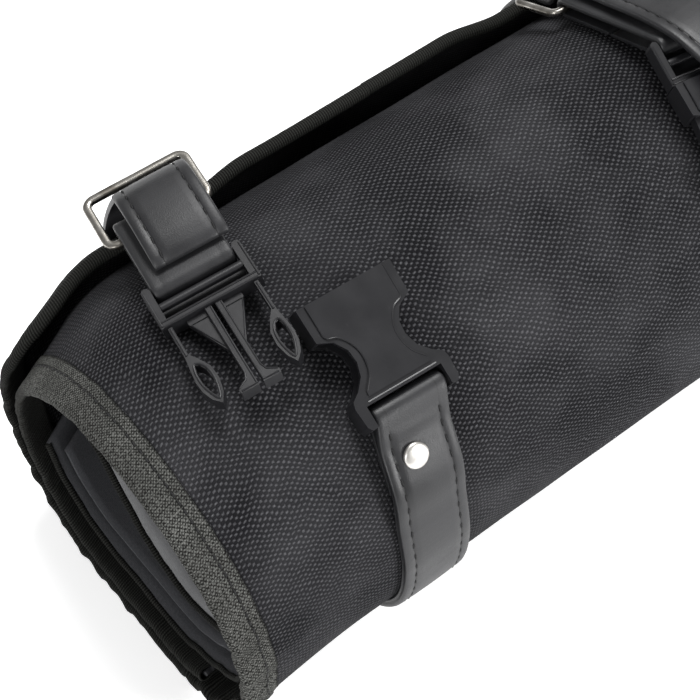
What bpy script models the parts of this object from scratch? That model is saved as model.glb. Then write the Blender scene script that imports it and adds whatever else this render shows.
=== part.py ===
"""Carving tool roll: a rolled canvas tool holder with two leather straps and side-release buckles.

Frame: X along the roll, Y towards its back, Z up. The origin is under the middle of the roll, on
the surface it lies on. Lengths below are millimetres; MM turns them into metres.
"""

import math

import bmesh
import bpy
from mathutils import Matrix, Vector

MM = 0.001
EDGE_GAP = 0.3            # clearance between pieces that touch on the real object

# The roll
HALF_LENGTH = 161.0
HALF_WIDTH = 76.0
HALF_HEIGHT = 58.0
FLAT_DEPTH = 3.0          # how far the underside is flattened by the surface it lies on
END_HALF_WIDTH = 67.0     # the ends are drawn in a little
END_HALF_HEIGHT = 54.5
END_SHIFT_Y = -10.5
TAPER_START = 122.0
LOWER_ROUNDNESS = 0.85    # exponent under 1 squares the underside
CANVAS = 1.6              # main cloth, with its lining
RIM_TAPE = 3.0            # folded binding tape at a cloth edge, across the cloth
RIM_WIDTH = 2.7           # its width past the cloth edge
FREE_EDGE_ANGLE = 38.0    # where the cloth ends, degrees above the back
BEAD_RADIUS = 2.2         # rolled binding on the free edge
INNER_END_TURN = 1.47     # turns from the free edge to the inner end of the main cloth

# Leather and straps
LEATHER = 2.0
STRAP_WIDTH = 26.5
TAB_WIDTH = 28.4
TAB_LEATHER = 1.8

# Side-release buckle, for 25 mm straps
BUCKLE_HALF_WIDTH = 17.6
PLUG_BAR_RADIUS = 1.4
PLUG_BAR_Y = 5.5
PLUG_FRONT = -10.0
PLUG_DEPTH = 6.0
PRONG_TIP = -44.5
SOCKET_DEPTH = 10.0
SOCKET_CAVITY = 6.4
SOCKET_HALF_CAVITY = 16.35
SOCKET_LENGTH = 43.5
SOCKET_BAR_Y = -40.5
SOCKET_BAR_RADIUS = 1.5

# Metal frame
FRAME_HALF_WIDTH = 18.2
FRAME_LENGTH = 21.5
FRAME_WIRE = 1.3
FRAME_CORNER = 4.0

# Rivet
RIVET_CAP = 5.0
RIVET_POST = 2.0
RIVET_SLACK = 0.8

COLLECTION = "carving_tool_roll"


# ---------------------------------------------------------------- scene helpers


def clear_scene():
    for obj in list(bpy.data.objects):
        bpy.data.objects.remove(obj, do_unlink=True)


def make_collection(name):
    collection = bpy.data.collections.new(name)
    bpy.context.scene.collection.children.link(collection)
    return collection


def make_material(name, colour, roughness, metallic=0.0):
    material = bpy.data.materials.new(name)
    material.use_nodes = True
    shader = material.node_tree.nodes["Principled BSDF"]
    shader.inputs["Base Color"].default_value = (*colour, 1.0)
    shader.inputs["Roughness"].default_value = roughness
    shader.inputs["Metallic"].default_value = metallic
    return material


def metres(point):
    return Vector(point) * MM


def place(obj, parent=None, offset=(0.0, 0.0, 0.0)):
    """Parent obj and undo the parent's own offset, so that its mesh stays in the shared frame."""
    if parent is not None:
        obj.parent = parent
        obj.location = -metres(offset)


def add_object(name, mesh, material, collection, parent=None, offset=(0.0, 0.0, 0.0)):
    obj = bpy.data.objects.new(name, mesh)
    collection.objects.link(obj)
    if material is not None:
        mesh.materials.append(material)
    place(obj, parent, offset)
    return obj


def add_empty(name, matrix=None, parent=None, offset=(0.0, 0.0, 0.0)):
    empty = bpy.data.objects.new(name, None)
    empty.empty_display_size = 0.01
    PARTS.objects.link(empty)
    if parent is not None:
        empty.parent = parent
        empty.location = metres(offset)
    if matrix is not None:
        empty.matrix_world = matrix
    return empty


def frame_matrix(origin, yaw, pitch, roll=0.0):
    """A frame at origin, turned by yaw about Z, pitch about its own X and roll about its own Y."""
    turn = Matrix.Rotation(math.radians(yaw), 4, "Z") @ Matrix.Rotation(math.radians(pitch), 4, "X")
    return Matrix.Translation(metres(origin)) @ turn @ Matrix.Rotation(math.radians(roll), 4, "Y")


def as_cutter(obj):
    """Move a helper body to the cutters' collection, where the build leaves it out."""
    for collection in list(obj.users_collection):
        collection.objects.unlink(obj)
    CUTTERS.objects.link(obj)
    obj.hide_render = True
    obj.display_type = "WIRE"
    return obj


def boolean(obj, other, operation):
    modifier = obj.modifiers.new(f"{operation.lower()}_{other.name}", "BOOLEAN")
    modifier.operation = operation
    modifier.solver = "EXACT"
    modifier.object = as_cutter(other)


def smooth(obj, angle=35.0):
    obj.data.shade_smooth()
    obj.data.set_sharp_from_angle(angle=math.radians(angle))


# ---------------------------------------------------------------- shape helpers


def sheet(name, rows, thickness, material, parent=None, offset=(0.0, 0.0, 0.0)):
    """A cloth or leather body: an open grid of points, given thickness on both sides."""
    bm = bmesh.new()
    grid = [[bm.verts.new(metres(point)) for point in row] for row in rows]
    for upper, lower in zip(grid, grid[1:]):
        for i in range(len(upper) - 1):
            bm.faces.new((upper[i], upper[i + 1], lower[i + 1], lower[i]))
    mesh = bpy.data.meshes.new(name)
    bm.to_mesh(mesh)
    bm.free()
    obj = add_object(name, mesh, material, PARTS, parent, offset)
    solidify = obj.modifiers.new("thickness", "SOLIDIFY")
    solidify.thickness = thickness * MM
    solidify.offset = 0.0
    solidify.use_even_offset = True
    smooth(obj)
    return obj


def ribbon_rows(centres, directions, width):
    """Rows of two points, half a width to each side of every centre."""
    rows = []
    for centre, direction in zip(centres, directions):
        side = Vector(direction).normalized() * width / 2
        rows.append((Vector(centre) - side, Vector(centre) + side))
    return rows


def mesh_of_curve(obj):
    """Replace a filled curve object by a welded mesh object of the same name and place."""
    name = obj.name
    depsgraph = bpy.context.evaluated_depsgraph_get()
    mesh = bpy.data.meshes.new_from_object(obj.evaluated_get(depsgraph))
    bm = bmesh.new()
    bm.from_mesh(mesh)
    bmesh.ops.remove_doubles(bm, verts=bm.verts, dist=0.00001)
    bmesh.ops.recalc_face_normals(bm, faces=bm.faces)
    bm.to_mesh(mesh)
    bm.free()
    bpy.data.objects.remove(obj, do_unlink=True)
    mesh.name = name
    return mesh


def plate(name, outlines, thickness, material, parent=None, offset=(0, 0, 0), z=0.0):
    """A flat plate lying in X and Y: the first outline is its edge, the others are holes."""
    curve = bpy.data.curves.new(name, "CURVE")
    curve.dimensions = "2D"
    curve.fill_mode = "BOTH"
    curve.extrude = thickness / 2 * MM
    curve.render_resolution_u = 0
    for outline in outlines:
        spline = curve.splines.new("POLY")
        spline.points.add(len(outline) - 1)
        spline.use_cyclic_u = True
        for point, (x, y) in zip(spline.points, outline):
            point.co = (x * MM, y * MM, 0.0, 1.0)
    obj = bpy.data.objects.new(name, curve)
    PARTS.objects.link(obj)
    mesh = mesh_of_curve(obj)
    mesh.transform(Matrix.Translation((0.0, 0.0, z * MM)))
    result = add_object(name, mesh, material, PARTS, parent, offset)
    smooth(result)
    return result


def box(name, low, high, parent=None, offset=(0, 0, 0)):
    bm = bmesh.new()
    bmesh.ops.create_cube(bm, size=1.0)
    size = metres(high) - metres(low)
    centre = (metres(high) + metres(low)) / 2
    bmesh.ops.scale(bm, vec=size, verts=bm.verts)
    bmesh.ops.translate(bm, vec=centre, verts=bm.verts)
    mesh = bpy.data.meshes.new(name)
    bm.to_mesh(mesh)
    bm.free()
    return add_object(name, mesh, None, PARTS, parent, offset)


def cross_bar(name, half_length, radius, y, z=0.0, parent=None, offset=(0, 0, 0), sides=12):
    """A round bar along X."""
    bm = bmesh.new()
    bmesh.ops.create_cone(
        bm, cap_ends=True, segments=sides, radius1=radius * MM, radius2=radius * MM,
        depth=2 * half_length * MM, matrix=Matrix.Rotation(math.pi / 2, 4, "Y"))
    bmesh.ops.translate(bm, vec=metres((0.0, y, z)), verts=bm.verts)
    mesh = bpy.data.meshes.new(name)
    bm.to_mesh(mesh)
    bm.free()
    return add_object(name, mesh, None, PARTS, parent, offset)


def arc(centre, radius, start, end, steps):
    """Points on an arc from start to end, in degrees."""
    points = []
    for i in range(steps + 1):
        angle = math.radians(start + (end - start) * i / steps)
        points.append((centre[0] + radius * math.cos(angle), centre[1] + radius * math.sin(angle)))
    return points


def smooth_path(points, spacing=0.0, steps=0):
    """A Catmull-Rom curve through the points, read every spacing or in steps for each stretch."""
    points = [Vector(point) for point in points]
    padded = [2 * points[0] - points[1], *points, 2 * points[-1] - points[-2]]
    path = []
    for p0, p1, p2, p3 in zip(padded, padded[1:], padded[2:], padded[3:]):
        count = steps or max(1, round((p2 - p1).length / spacing))
        for i in range(count):
            t = i / count
            path.append(0.5 * (2 * p1 + (p2 - p0) * t + (2 * p0 - 5 * p1 + 4 * p2 - p3) * t * t
                               + (3 * p1 - p0 - 3 * p2 + p3) * t ** 3))
    return path + [points[-1]]


# ---------------------------------------------------------------- the rolled section


def section_point(angle, height, x=0.0):
    """A point of the roll's section, height outside its outer face, at an angle from the back."""
    taper = min(1.0, max(0.0, (abs(x) - TAPER_START) / (HALF_LENGTH - TAPER_START)))
    half_width = HALF_WIDTH + taper * (END_HALF_WIDTH - HALF_WIDTH)
    half_height = HALF_HEIGHT + taper * (END_HALF_HEIGHT - HALF_HEIGHT)
    across = math.cos(math.radians(angle))
    upward = math.sin(math.radians(angle))
    if upward < 0:
        across = math.copysign(abs(across) ** LOWER_ROUNDNESS, across)
        upward = -abs(upward) ** LOWER_ROUNDNESS
    y = taper * END_SHIFT_Y + (half_width + height) * across
    z = half_height - FLAT_DEPTH + (half_height + height) * upward
    return Vector((x, y, max(z, -height)))


def layer_height(turn):
    """Height of the main cloth's middle above the roll's outer face, along its spiral."""
    stops = ((0.0, 3.2), (0.10, 2.4), (0.22, 0.4), (0.30, -0.8), (0.93, -0.8), (1.00, -2.2),
             (1.10, -6.0), (1.25, -9.5), (1.60, -10.5))
    for (t0, h0), (t1, h1) in zip(stops, stops[1:]):
        if turn <= t1:
            blend = (turn - t0) / (t1 - t0)
            blend = blend * blend * (3 - 2 * blend)
            return h0 + (h1 - h0) * blend
    return stops[-1][1]


def spiral_point(turn, x, extra=0.0):
    return section_point(FREE_EDGE_ANGLE - 360.0 * turn, layer_height(turn) + extra, x)


def spiral_turns(start, end, steps):
    return [start + (end - start) * i / steps for i in range(steps + 1)]


def make_cloth():
    """The main cloth, wound from its free edge at the top of the back to its inner end."""
    edge = HALF_LENGTH - RIM_WIDTH - EDGE_GAP
    stations = (-edge, -TAPER_START, TAPER_START, edge)
    rows = [[spiral_point(turn, x) for x in stations]
            for turn in spiral_turns(0.006, INNER_END_TURN, 96)]
    sheet("outer_canvas", rows, CANVAS, CLOTH)


def make_bindings():
    """Binding tape: a rolled bead on the free edge and a folded tape along each end."""
    for side, name in ((-1, "left"), (1, "right")):
        stations = (side * (HALF_LENGTH - RIM_WIDTH), side * HALF_LENGTH)
        rows = [[spiral_point(turn, x) for x in stations]
                for turn in spiral_turns(0.012, 1.30, 76)]
        for row in rows:
            for point in row:
                point.z = max(point.z, RIM_TAPE / 2)
        sheet(f"{name}_rim_binding", rows, RIM_TAPE, TAPE)
    curve = bpy.data.curves.new("free_edge_binding", "CURVE")
    curve.dimensions = "3D"
    curve.bevel_depth = BEAD_RADIUS * MM
    curve.bevel_resolution = 2
    curve.use_fill_caps = True
    curve.render_resolution_u = 0
    spline = curve.splines.new("POLY")
    stations = (-HALF_LENGTH, -TAPER_START, TAPER_START, HALF_LENGTH)
    spline.points.add(len(stations) - 1)
    for point, x in zip(spline.points, stations):
        centre = spiral_point(-0.0018 - BEAD_RADIUS / 460, x)
        point.co = (*metres(centre), 1.0)
    bead = bpy.data.objects.new("free_edge_binding", curve)
    PARTS.objects.link(bead)
    smooth(add_object("free_edge_binding", mesh_of_curve(bead), TAPE, PARTS))


def inner_layer(x, arc_stops, drape):
    """An inner layer at one station: along the roll's inside, then slack across its hollow."""
    taper = min(1.0, max(0.0, (abs(x) - TAPER_START) / (HALF_LENGTH - TAPER_START)))
    scale = 1.0 + taper * (END_HALF_WIDTH / HALF_WIDTH - 1.0)
    points = [section_point(angle, height, x) for angle, height in arc_stops]
    points += [Vector((x, y * scale + taper * END_SHIFT_Y, z * (1.0 - 0.05 * taper)))
               for y, z in drape]
    return smooth_path(points, steps=2)


def make_inner_layer(name, stations, arc_stops, drape, thickness):
    columns = [inner_layer(x, arc_stops, drape) for x in stations]
    return sheet(name, list(zip(*columns)), thickness, LINING)


def make_lining():
    """The tool pocket panel and the tip flap, slack inside the roll."""
    left = -HALF_LENGTH + 6.0
    make_inner_layer(
        "pocket_panel", (left, -TAPER_START, TAPER_START, HALF_LENGTH - 26.0),
        [(angle, -14.2) for angle in (-12, -32, -52, -72, -92, -112, -132)]
        + [(-150, -11.0), (-166, -8.0), (-180, -7.0)],
        [(-60, 60), (-38, 53), (-24, 55), (-8, 62), (4, 75), (18, 89), (32, 93)], 2.4)
    make_inner_layer(
        "tip_flap", (left + 4.0, -TAPER_START, -64.0),
        [(angle, -18.6) for angle in (-20, -40, -60, -80, -100, -120, -136)] + [(-152, -17.0)],
        [], 1.4)


# ---------------------------------------------------------------- buckles


def mirrored(outline):
    return [(-x, y) for x, y in reversed(outline)]


def make_plug(name, parent, offset):
    """The plug of a buckle: ears, rear bar for the leather tab, front wall and two guide rails."""
    inner = TAB_WIDTH / 2 + 0.5
    ears = [(BUCKLE_HALF_WIDTH, PLUG_FRONT), (BUCKLE_HALF_WIDTH, 4.0)]
    ears += arc((BUCKLE_HALF_WIDTH - 1.5, 5.6), 1.5, 0, 180, 4)
    ears += [(inner, -7.2)]
    outline = ears + mirrored(ears)
    body = plate(name, [outline], PLUG_DEPTH, PLASTIC, parent, offset)
    boolean(body, cross_bar(f"{name}_rear_bar", inner + 1.0, PLUG_BAR_RADIUS, PLUG_BAR_Y,
                            parent=parent, offset=offset), "UNION")
    boolean(body, box(f"{name}_cross_plate", (-inner - 1, -2.7, 0.4), (inner + 1, -0.7, 2.6),
                      parent, offset), "UNION")
    for side in (-1, 1):
        rail = [(0.85, -9.0), (2.9, -9.0), (2.9, -38.5), (3.6, -41.0), (7.0, -43.0),
                (6.8, PRONG_TIP), (0.85, PRONG_TIP)]
        gusset = [(2.0, -9.0), (9.6, -9.0), (9.6, -11.8), (2.9, -28.0), (2.0, -28.0)]
        if side < 0:
            rail, gusset = mirrored(rail), mirrored(gusset)
        label = "left" if side < 0 else "right"
        boolean(body, plate(f"{name}_{label}_rail", [rail], 4.4, None, parent, offset), "UNION")
        boolean(body, plate(f"{name}_{label}_gusset", [gusset], 1.8, None, parent, offset),
                "UNION")
    return body


def make_arm(name, side, parent, offset):
    """One spring arm: a straight spring and a leaf-shaped head with an eye in it."""
    root = PLUG_FRONT - EDGE_GAP - 0.1
    arm = [(14.5, root), (15.9, root), (15.9, -23.0), (16.5, -28.0), (17.0, -33.0),
           (16.6, -37.5), (15.2, -41.5), (12.9, -44.2), (11.0, -40.5), (10.0, -35.5),
           (10.4, -30.0), (12.6, -25.5), (14.5, -22.5)]
    eye = [(14.6, -27.4), (15.3, -31.0), (15.2, -35.0), (14.2, -39.0), (13.1, -41.4),
           (12.2, -38.6), (11.7, -34.5), (12.1, -30.5), (13.3, -28.0)]
    outlines = [arm, eye]
    if side < 0:
        outlines = [mirrored(outline) for outline in outlines]
    return plate(name, outlines, 4.6, PLASTIC, parent, offset)


def make_socket(name, parent, offset, mouth=0.0):
    """The socket of a buckle: a flat box open at its mouth and waist, with a bar for its strap."""
    half = BUCKLE_HALF_WIDTH
    edge = [(half, 0.0), (half - 0.3, -12.0), (12.4, -14.2), (9.6, -18.5), (9.2, -23.0),
            (10.6, -27.5), (14.0, -31.2), (half - 0.6, -33.2), (half, -35.5), (half - 0.4, -42.0)]
    edge += [(half - 1.4, -SOCKET_LENGTH)]
    outline = [(x, y + mouth) for x, y in edge + mirrored(edge)]
    window = STRAP_WIDTH / 2 + 0.75
    body = plate(name, [outline], SOCKET_DEPTH, PLASTIC, parent, offset)
    half_cavity = SOCKET_CAVITY / 2
    boolean(body, box(f"{name}_mouth", (-SOCKET_HALF_CAVITY, -27.0 + mouth, -half_cavity),
                      (SOCKET_HALF_CAVITY, 1.0 + mouth, half_cavity), parent, offset),
            "DIFFERENCE")
    boolean(body, box(f"{name}_throat", (-15.7, -34.9 + mouth, -half_cavity),
                      (15.7, -26.0 + mouth, half_cavity), parent, offset), "DIFFERENCE")
    boolean(body, box(f"{name}_window", (-window, -50.0 + mouth, -9.0),
                      (window, -36.3 + mouth, 9.0), parent, offset), "DIFFERENCE")
    boolean(body, cross_bar(f"{name}_bar", window + 1.2, SOCKET_BAR_RADIUS,
                            SOCKET_BAR_Y + mouth, parent=parent, offset=offset), "UNION")
    return body


def make_frame(name, parent, offset, near):
    """The metal frame: one closed loop of wire with round corners, near bar nearest the plug."""
    far = near + FRAME_LENGTH
    half = FRAME_HALF_WIDTH
    corner = FRAME_CORNER
    path = []
    for cx, cy, start in ((half - corner, far - corner, 0), (-half + corner, far - corner, 90),
                          (-half + corner, near + corner, 180), (half - corner, near + corner, 270)):
        path += arc((cx, cy), corner, start, start + 90, 4)
    curve = bpy.data.curves.new(name, "CURVE")
    curve.dimensions = "3D"
    curve.bevel_depth = FRAME_WIRE * MM
    curve.bevel_resolution = 2
    curve.render_resolution_u = 0
    spline = curve.splines.new("POLY")
    spline.points.add(len(path) - 1)
    spline.use_cyclic_u = True
    for point, (x, y) in zip(spline.points, path):
        point.co = (x * MM, y * MM, 0.0, 1.0)
    obj = bpy.data.objects.new(name, curve)
    curve.materials.append(METAL)
    PARTS.objects.link(obj)
    place(obj, parent, offset)
    return obj


# ---------------------------------------------------------------- strap routes


def world_of(matrix, point):
    return (matrix @ metres(point)) / MM


def axis_of(matrix, index):
    return matrix.to_3x3().col[index].normalized()


def loop_rows(first, first_side, second, second_side, inner, width, thickness):
    """A leather loop round two bars, split underneath: rows of points from side to side."""
    radius = inner + thickness / 2
    split = 0.6

    def at(share, angle, shift=0.0):
        side = first_side.lerp(second_side, share).normalized()
        along = second - first
        along = (along - along.dot(side) * side).normalized()
        up = side.cross(along)
        turn = math.radians(angle)
        centre = first.lerp(second, share) + shift * along
        point = centre + radius * (math.cos(turn) * along + math.sin(turn) * up)
        return point - side * width / 2, point + side * width / 2

    rows = [at(0.5, -90, -split)]
    rows += [at(0.0, -90 - 22.5 * i) for i in range(9)]
    rows += [at(1.0, 90 - 22.5 * i) for i in range(9)]
    return rows + [at(0.5, -90, split)]


def facing(normal):
    turn = Vector((0.0, 0.0, 1.0)).rotation_difference(normal.normalized())
    return turn.to_matrix().to_4x4()


def make_rivet(name, centre, normal, half_grip, parent=None, offset=(0, 0, 0)):
    """A capped rivet through two layers of leather: a turned profile about its axis."""
    top = half_grip + RIVET_SLACK
    profile = [(0.0, top + 1.5), (2.2, top + 1.3), (3.9, top + 0.8), (RIVET_CAP, top),
               (RIVET_POST, top), (RIVET_POST, -top), (3.2, -top), (3.0, -top - 0.5),
               (0.0, -top - 0.6)]
    turn = Matrix.Translation(metres(centre)) @ facing(normal)
    bm = bmesh.new()
    points = [bm.verts.new((x * MM, 0.0, z * MM)) for x, z in profile]
    edges = [bm.edges.new(pair) for pair in zip(points, points[1:])]
    bmesh.ops.spin(bm, geom=points + edges, cent=(0, 0, 0), axis=(0, 0, 1),
                   angle=2 * math.pi, steps=16)
    bmesh.ops.remove_doubles(bm, verts=bm.verts, dist=0.00001)
    bmesh.ops.recalc_face_normals(bm, faces=bm.faces)
    bmesh.ops.transform(bm, matrix=turn, verts=bm.verts)
    mesh = bpy.data.meshes.new(name)
    bm.to_mesh(mesh)
    bm.free()
    obj = add_object(name, mesh, METAL, PARTS, parent, offset)
    smooth(obj)
    return obj


def rivet_hole(name, centre, normal, parent=None, offset=(0, 0, 0)):
    bm = bmesh.new()
    reach = RIVET_POST + EDGE_GAP
    bmesh.ops.create_cone(bm, cap_ends=True, segments=16, radius1=reach * MM,
                          radius2=reach * MM, depth=9 * MM,
                          matrix=Matrix.Translation(metres(centre)) @ facing(normal))
    mesh = bpy.data.meshes.new(name)
    bm.to_mesh(mesh)
    bm.free()
    return add_object(name, mesh, None, PARTS, parent, offset)


# ---------------------------------------------------------------- strap assemblies

# A buckle's own frame: origin on its middle line, then yaw, pitch and any roll in degrees.
LEFT_PLUG = ((-105.4, 13.8, 118.9), -10.5, -1.5, -10.0)
LEFT_SOCKET = ((-74.1, -16.6, 122.6), -3.2, 26.7)
RIGHT_PLUG = ((84.5, -12.4, 123.3), -10.0, 21.0)
RIGHT_FRAME = ((84.0, 40.0, 110.2), 2.0, -24.0)
RIGHT_MOUTH = PLUG_FRONT - EDGE_GAP      # the fastened socket's mouth, in the plug's frame
LEFT_FRAME_BAR = 30.0                    # the left frame's near bar, in the plug's frame
LEFT_TAB_END = 33.5                      # middle of the left tab's far bend, with slack round that bar

HINGE_ANGLE = 15.0        # where the rear straps leave the roll, degrees above the back
REAR_HEIGHT = 5.2         # middle of the rear straps outside the roll there
FRONT_HINGE_ANGLE = 176.0
SEWN_END_ANGLE = 236.0
STRAP_HEIGHT = 1.5        # middle of a strap that lies on the canvas
LAYER_STEP = 2.45         # between the middles of two leather layers
TAIL_HEIGHT = 3.3         # middle of a strap's folded tail above the canvas, at the rivet
STRAP_SETTLED = 60.0      # degrees round the roll from a bar to where its strap runs straight
TAIL_SETTLED = 9.0        # degrees round the roll from a bar to where its tail lies flat
LAYERS_MEET = 9.0         # degrees from a bar to where its two layers meet
RIVET_TURN = 13.0         # from a socket's bar to its rivet, degrees round the roll
LOOP_INNER = 1.85         # inside of a tab's loop round a bar


def twisted_rows(centres, start_side):
    """A ribbon that turns from start_side to the roll's own direction over its second half."""
    held = len(centres) // 2
    rest = len(centres) - held
    roll_side = Vector((1.0, 0.0, 0.0))
    directions = [start_side] * held
    directions += [start_side.lerp(roll_side, (i + 1) / rest) for i in range(rest)]
    return ribbon_rows(centres, directions, STRAP_WIDTH)


def rear_hinge(x):
    """Pivot of a rear strap, on its outer face where it leaves the roll."""
    return section_point(HINGE_ANGLE, REAR_HEIGHT + LEATHER / 2, x)


def make_rear_strap(side, start_side, free_route, sewn_x, parent, offset):
    """The rear strap: free from its end to the pivot, then sewn to the back of the roll."""
    lowest = section_point(HINGE_ANGLE + 0.3, REAR_HEIGHT, sewn_x)
    centres = smooth_path([*free_route, lowest], 4.0)
    sheet(f"strap_{side}_rear", twisted_rows(centres, start_side), LEATHER, LEATHER_BLACK,
          parent, offset)
    sewn = [section_point(angle, REAR_HEIGHT, sewn_x)
            for angle in (HINGE_ANGLE - 0.3, 8.0, 0.0, -8.0, -16.0, -24.0)]
    sheet(f"strap_{side}_anchor", ribbon_rows(sewn, [(1, 0, 0)] * len(sewn), STRAP_WIDTH),
          LEATHER, LEATHER_BLACK)


def smooth_rows(rows, steps):
    """A ribbon's rows made finer along its length, edge by edge."""
    return list(zip(*(smooth_path(edge, steps=steps) for edge in zip(*rows))))


def front_strap_routes(bar, side, shift):
    """Rows of a front strap round its socket's bar, rows of its sewn part, rivet and pivot."""
    radius = SOCKET_BAR_RADIUS + 0.45 + LEATHER / 2
    centre_z = HALF_HEIGHT - FLAT_DEPTH
    reach = math.hypot(bar.y / HALF_WIDTH, (bar.z - centre_z) / HALF_HEIGHT)
    rise = (reach - 1.0) * (HALF_HEIGHT + HALF_WIDTH) / 2
    start = math.degrees(math.atan2((bar.z - centre_z) / HALF_HEIGHT, bar.y / HALF_WIDTH))

    def on_roll(turn, height):
        share = min(1.0, turn / STRAP_SETTLED)
        drift = side.y * STRAP_SETTLED * 1.25 * share * (1.0 - share) ** 2
        return section_point(start + turn, height,
                             bar.x + drift + shift * share * share * (3.0 - 2.0 * share))

    def across(turn):
        return side.lerp(Vector((1.0, 0.0, 0.0)), min(1.0, turn / 40.0)).normalized()

    def row(turn, height):
        return ribbon_rows([on_roll(turn, height)], [across(turn)], STRAP_WIDTH)[0]

    def tail_height(turn):
        share = min(1.0, turn / TAIL_SETTLED)
        return (rise - radius) * (1.0 - share) + TAIL_HEIGHT * share

    def gap(turn):
        return LAYER_STEP + (2 * radius - LAYER_STEP) * max(0.0, 1.0 - turn / LAYERS_MEET)

    def middle(turn):
        return on_roll(turn, tail_height(turn) + gap(turn) / 2)

    back = middle(0.0) - middle(3.0)
    back = (back - back.dot(side) * side).normalized()
    up = side.cross(back)
    bend = [bar + radius * (math.cos(math.radians(a)) * back + math.sin(math.radians(a)) * up)
            for a in (-90, -45, 0, 45, 90)]
    rows = [row(turn, tail_height(turn)) for turn in (20.0, 14.0, 9.0, 5.0)]
    rows += ribbon_rows(bend, [side] * len(bend), STRAP_WIDTH)
    rows += [row(turn, tail_height(turn) + gap(turn)) for turn in (5.0, 9.0, 14.0, 20.0)]
    rows += [row(25.0, 4.2), row(31.0, 2.0)]
    last = FRONT_HINGE_ANGLE - 0.3 - start
    rows += [row(turn, STRAP_HEIGHT) for turn in (37.0, last)]
    first = FRONT_HINGE_ANGLE + 0.3 - start
    steps = 9
    sewn = [row(first + (SEWN_END_ANGLE - start - first) * i / steps, STRAP_HEIGHT)
            for i in range(steps + 1)]
    rivet_at = middle(RIVET_TURN)
    ahead = middle(RIVET_TURN - 1.0) - middle(RIVET_TURN + 1.0)
    rivet_out = across(RIVET_TURN).cross(ahead).normalized()
    pivot = section_point(FRONT_HINGE_ANGLE, STRAP_HEIGHT + LEATHER / 2, sewn[0][0].x)
    return smooth_rows(rows, 2), sewn, rivet_at, rivet_out, pivot


def strap(name, rows, parent=None, offset=(0, 0, 0)):
    return sheet(name, rows, LEATHER, LEATHER_BLACK, parent, offset)


def make_riveted(side, leather, at, out, parent=None, offset=(0, 0, 0)):
    boolean(leather, rivet_hole(f"rivet_{side}_hole", at, out, parent, offset), "DIFFERENCE")
    make_rivet(f"rivet_{side}", at, out, LAYER_STEP / 2 + LEATHER / 2, parent, offset)


def make_arms(side, plug_empty):
    """Two spring arms, each on an empty at the root that it bends about."""
    for sign, label in ((-1, "left"), (1, "right")):
        root = (sign * 15.2, PLUG_FRONT - EDGE_GAP, 0.0)
        empty = add_empty(f"arm_{side}_{label}_root", parent=plug_empty,
                          offset=(root[0], root[1] - PLUG_BAR_Y, 0.0))
        make_arm(f"plug_{side}_arm_{label}", sign, empty, root)


def make_left_strap():
    """The unfastened left strap."""
    plug_matrix = frame_matrix(*LEFT_PLUG)
    side = axis_of(plug_matrix, 0)
    route = [(9.6, 4.95), (12.0, 6.7), (17.0, 8.3), (24.0, 9.1), (32.0, 8.9), (39.0, 7.6),
             (44.0, 4.8), (46.6, 0.8)]
    free = [world_of(plug_matrix, (3.4, y, z)) for y, z in route]
    free += [Vector(point) for point in ((-93.4, 62.3, 113.5), (-92.8, 67.5, 103.5),
                                         (-92.0, 73.0, 91.0))]
    sewn_x = -91.5
    pivot = rear_hinge(sewn_x)
    rear = add_empty("rear_strap_L_pivot", Matrix.Translation(metres(pivot)))
    make_rear_strap("L", side, free, sewn_x, rear, pivot)
    plug_bar = world_of(plug_matrix, (0.0, PLUG_BAR_Y, 0.0))
    frame_bar = world_of(plug_matrix, (0.0, LEFT_FRAME_BAR, 0.0))
    tab_end = world_of(plug_matrix, (0.0, LEFT_TAB_END, 0.0))
    rows = loop_rows(plug_bar, side, tab_end, side, LOOP_INNER, TAB_WIDTH, TAB_LEATHER)
    sheet("tab_L", rows, TAB_LEATHER, LEATHER_BLACK, rear, pivot)
    frame = add_empty("frame_L_pivot", turned_frame(frame_bar, plug_matrix), rear)
    make_frame("frame_L", frame, (0, LEFT_FRAME_BAR, 0), LEFT_FRAME_BAR)
    plug = add_empty("plug_L_pivot", turned_frame(plug_bar, plug_matrix), rear)
    make_plug("plug_L", plug, (0, PLUG_BAR_Y, 0))
    make_arms("L", plug)

    socket_matrix = frame_matrix(*LEFT_SOCKET)
    bar = world_of(socket_matrix, (0.0, SOCKET_BAR_Y, 0.0))
    free, sewn, rivet_at, rivet_out, pivot = front_strap_routes(
        bar, axis_of(socket_matrix, 0), -8.0)
    front = add_empty("front_strap_L_pivot", Matrix.Translation(metres(pivot)))
    leather = strap("strap_L_front", free, front, pivot)
    make_riveted("L", leather, rivet_at, rivet_out, front, pivot)
    strap("strap_L_base", sewn)
    socket = add_empty("socket_L_pivot", turned_frame(bar, socket_matrix), front)
    make_socket("socket_L", socket, (0, SOCKET_BAR_Y, 0))


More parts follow.
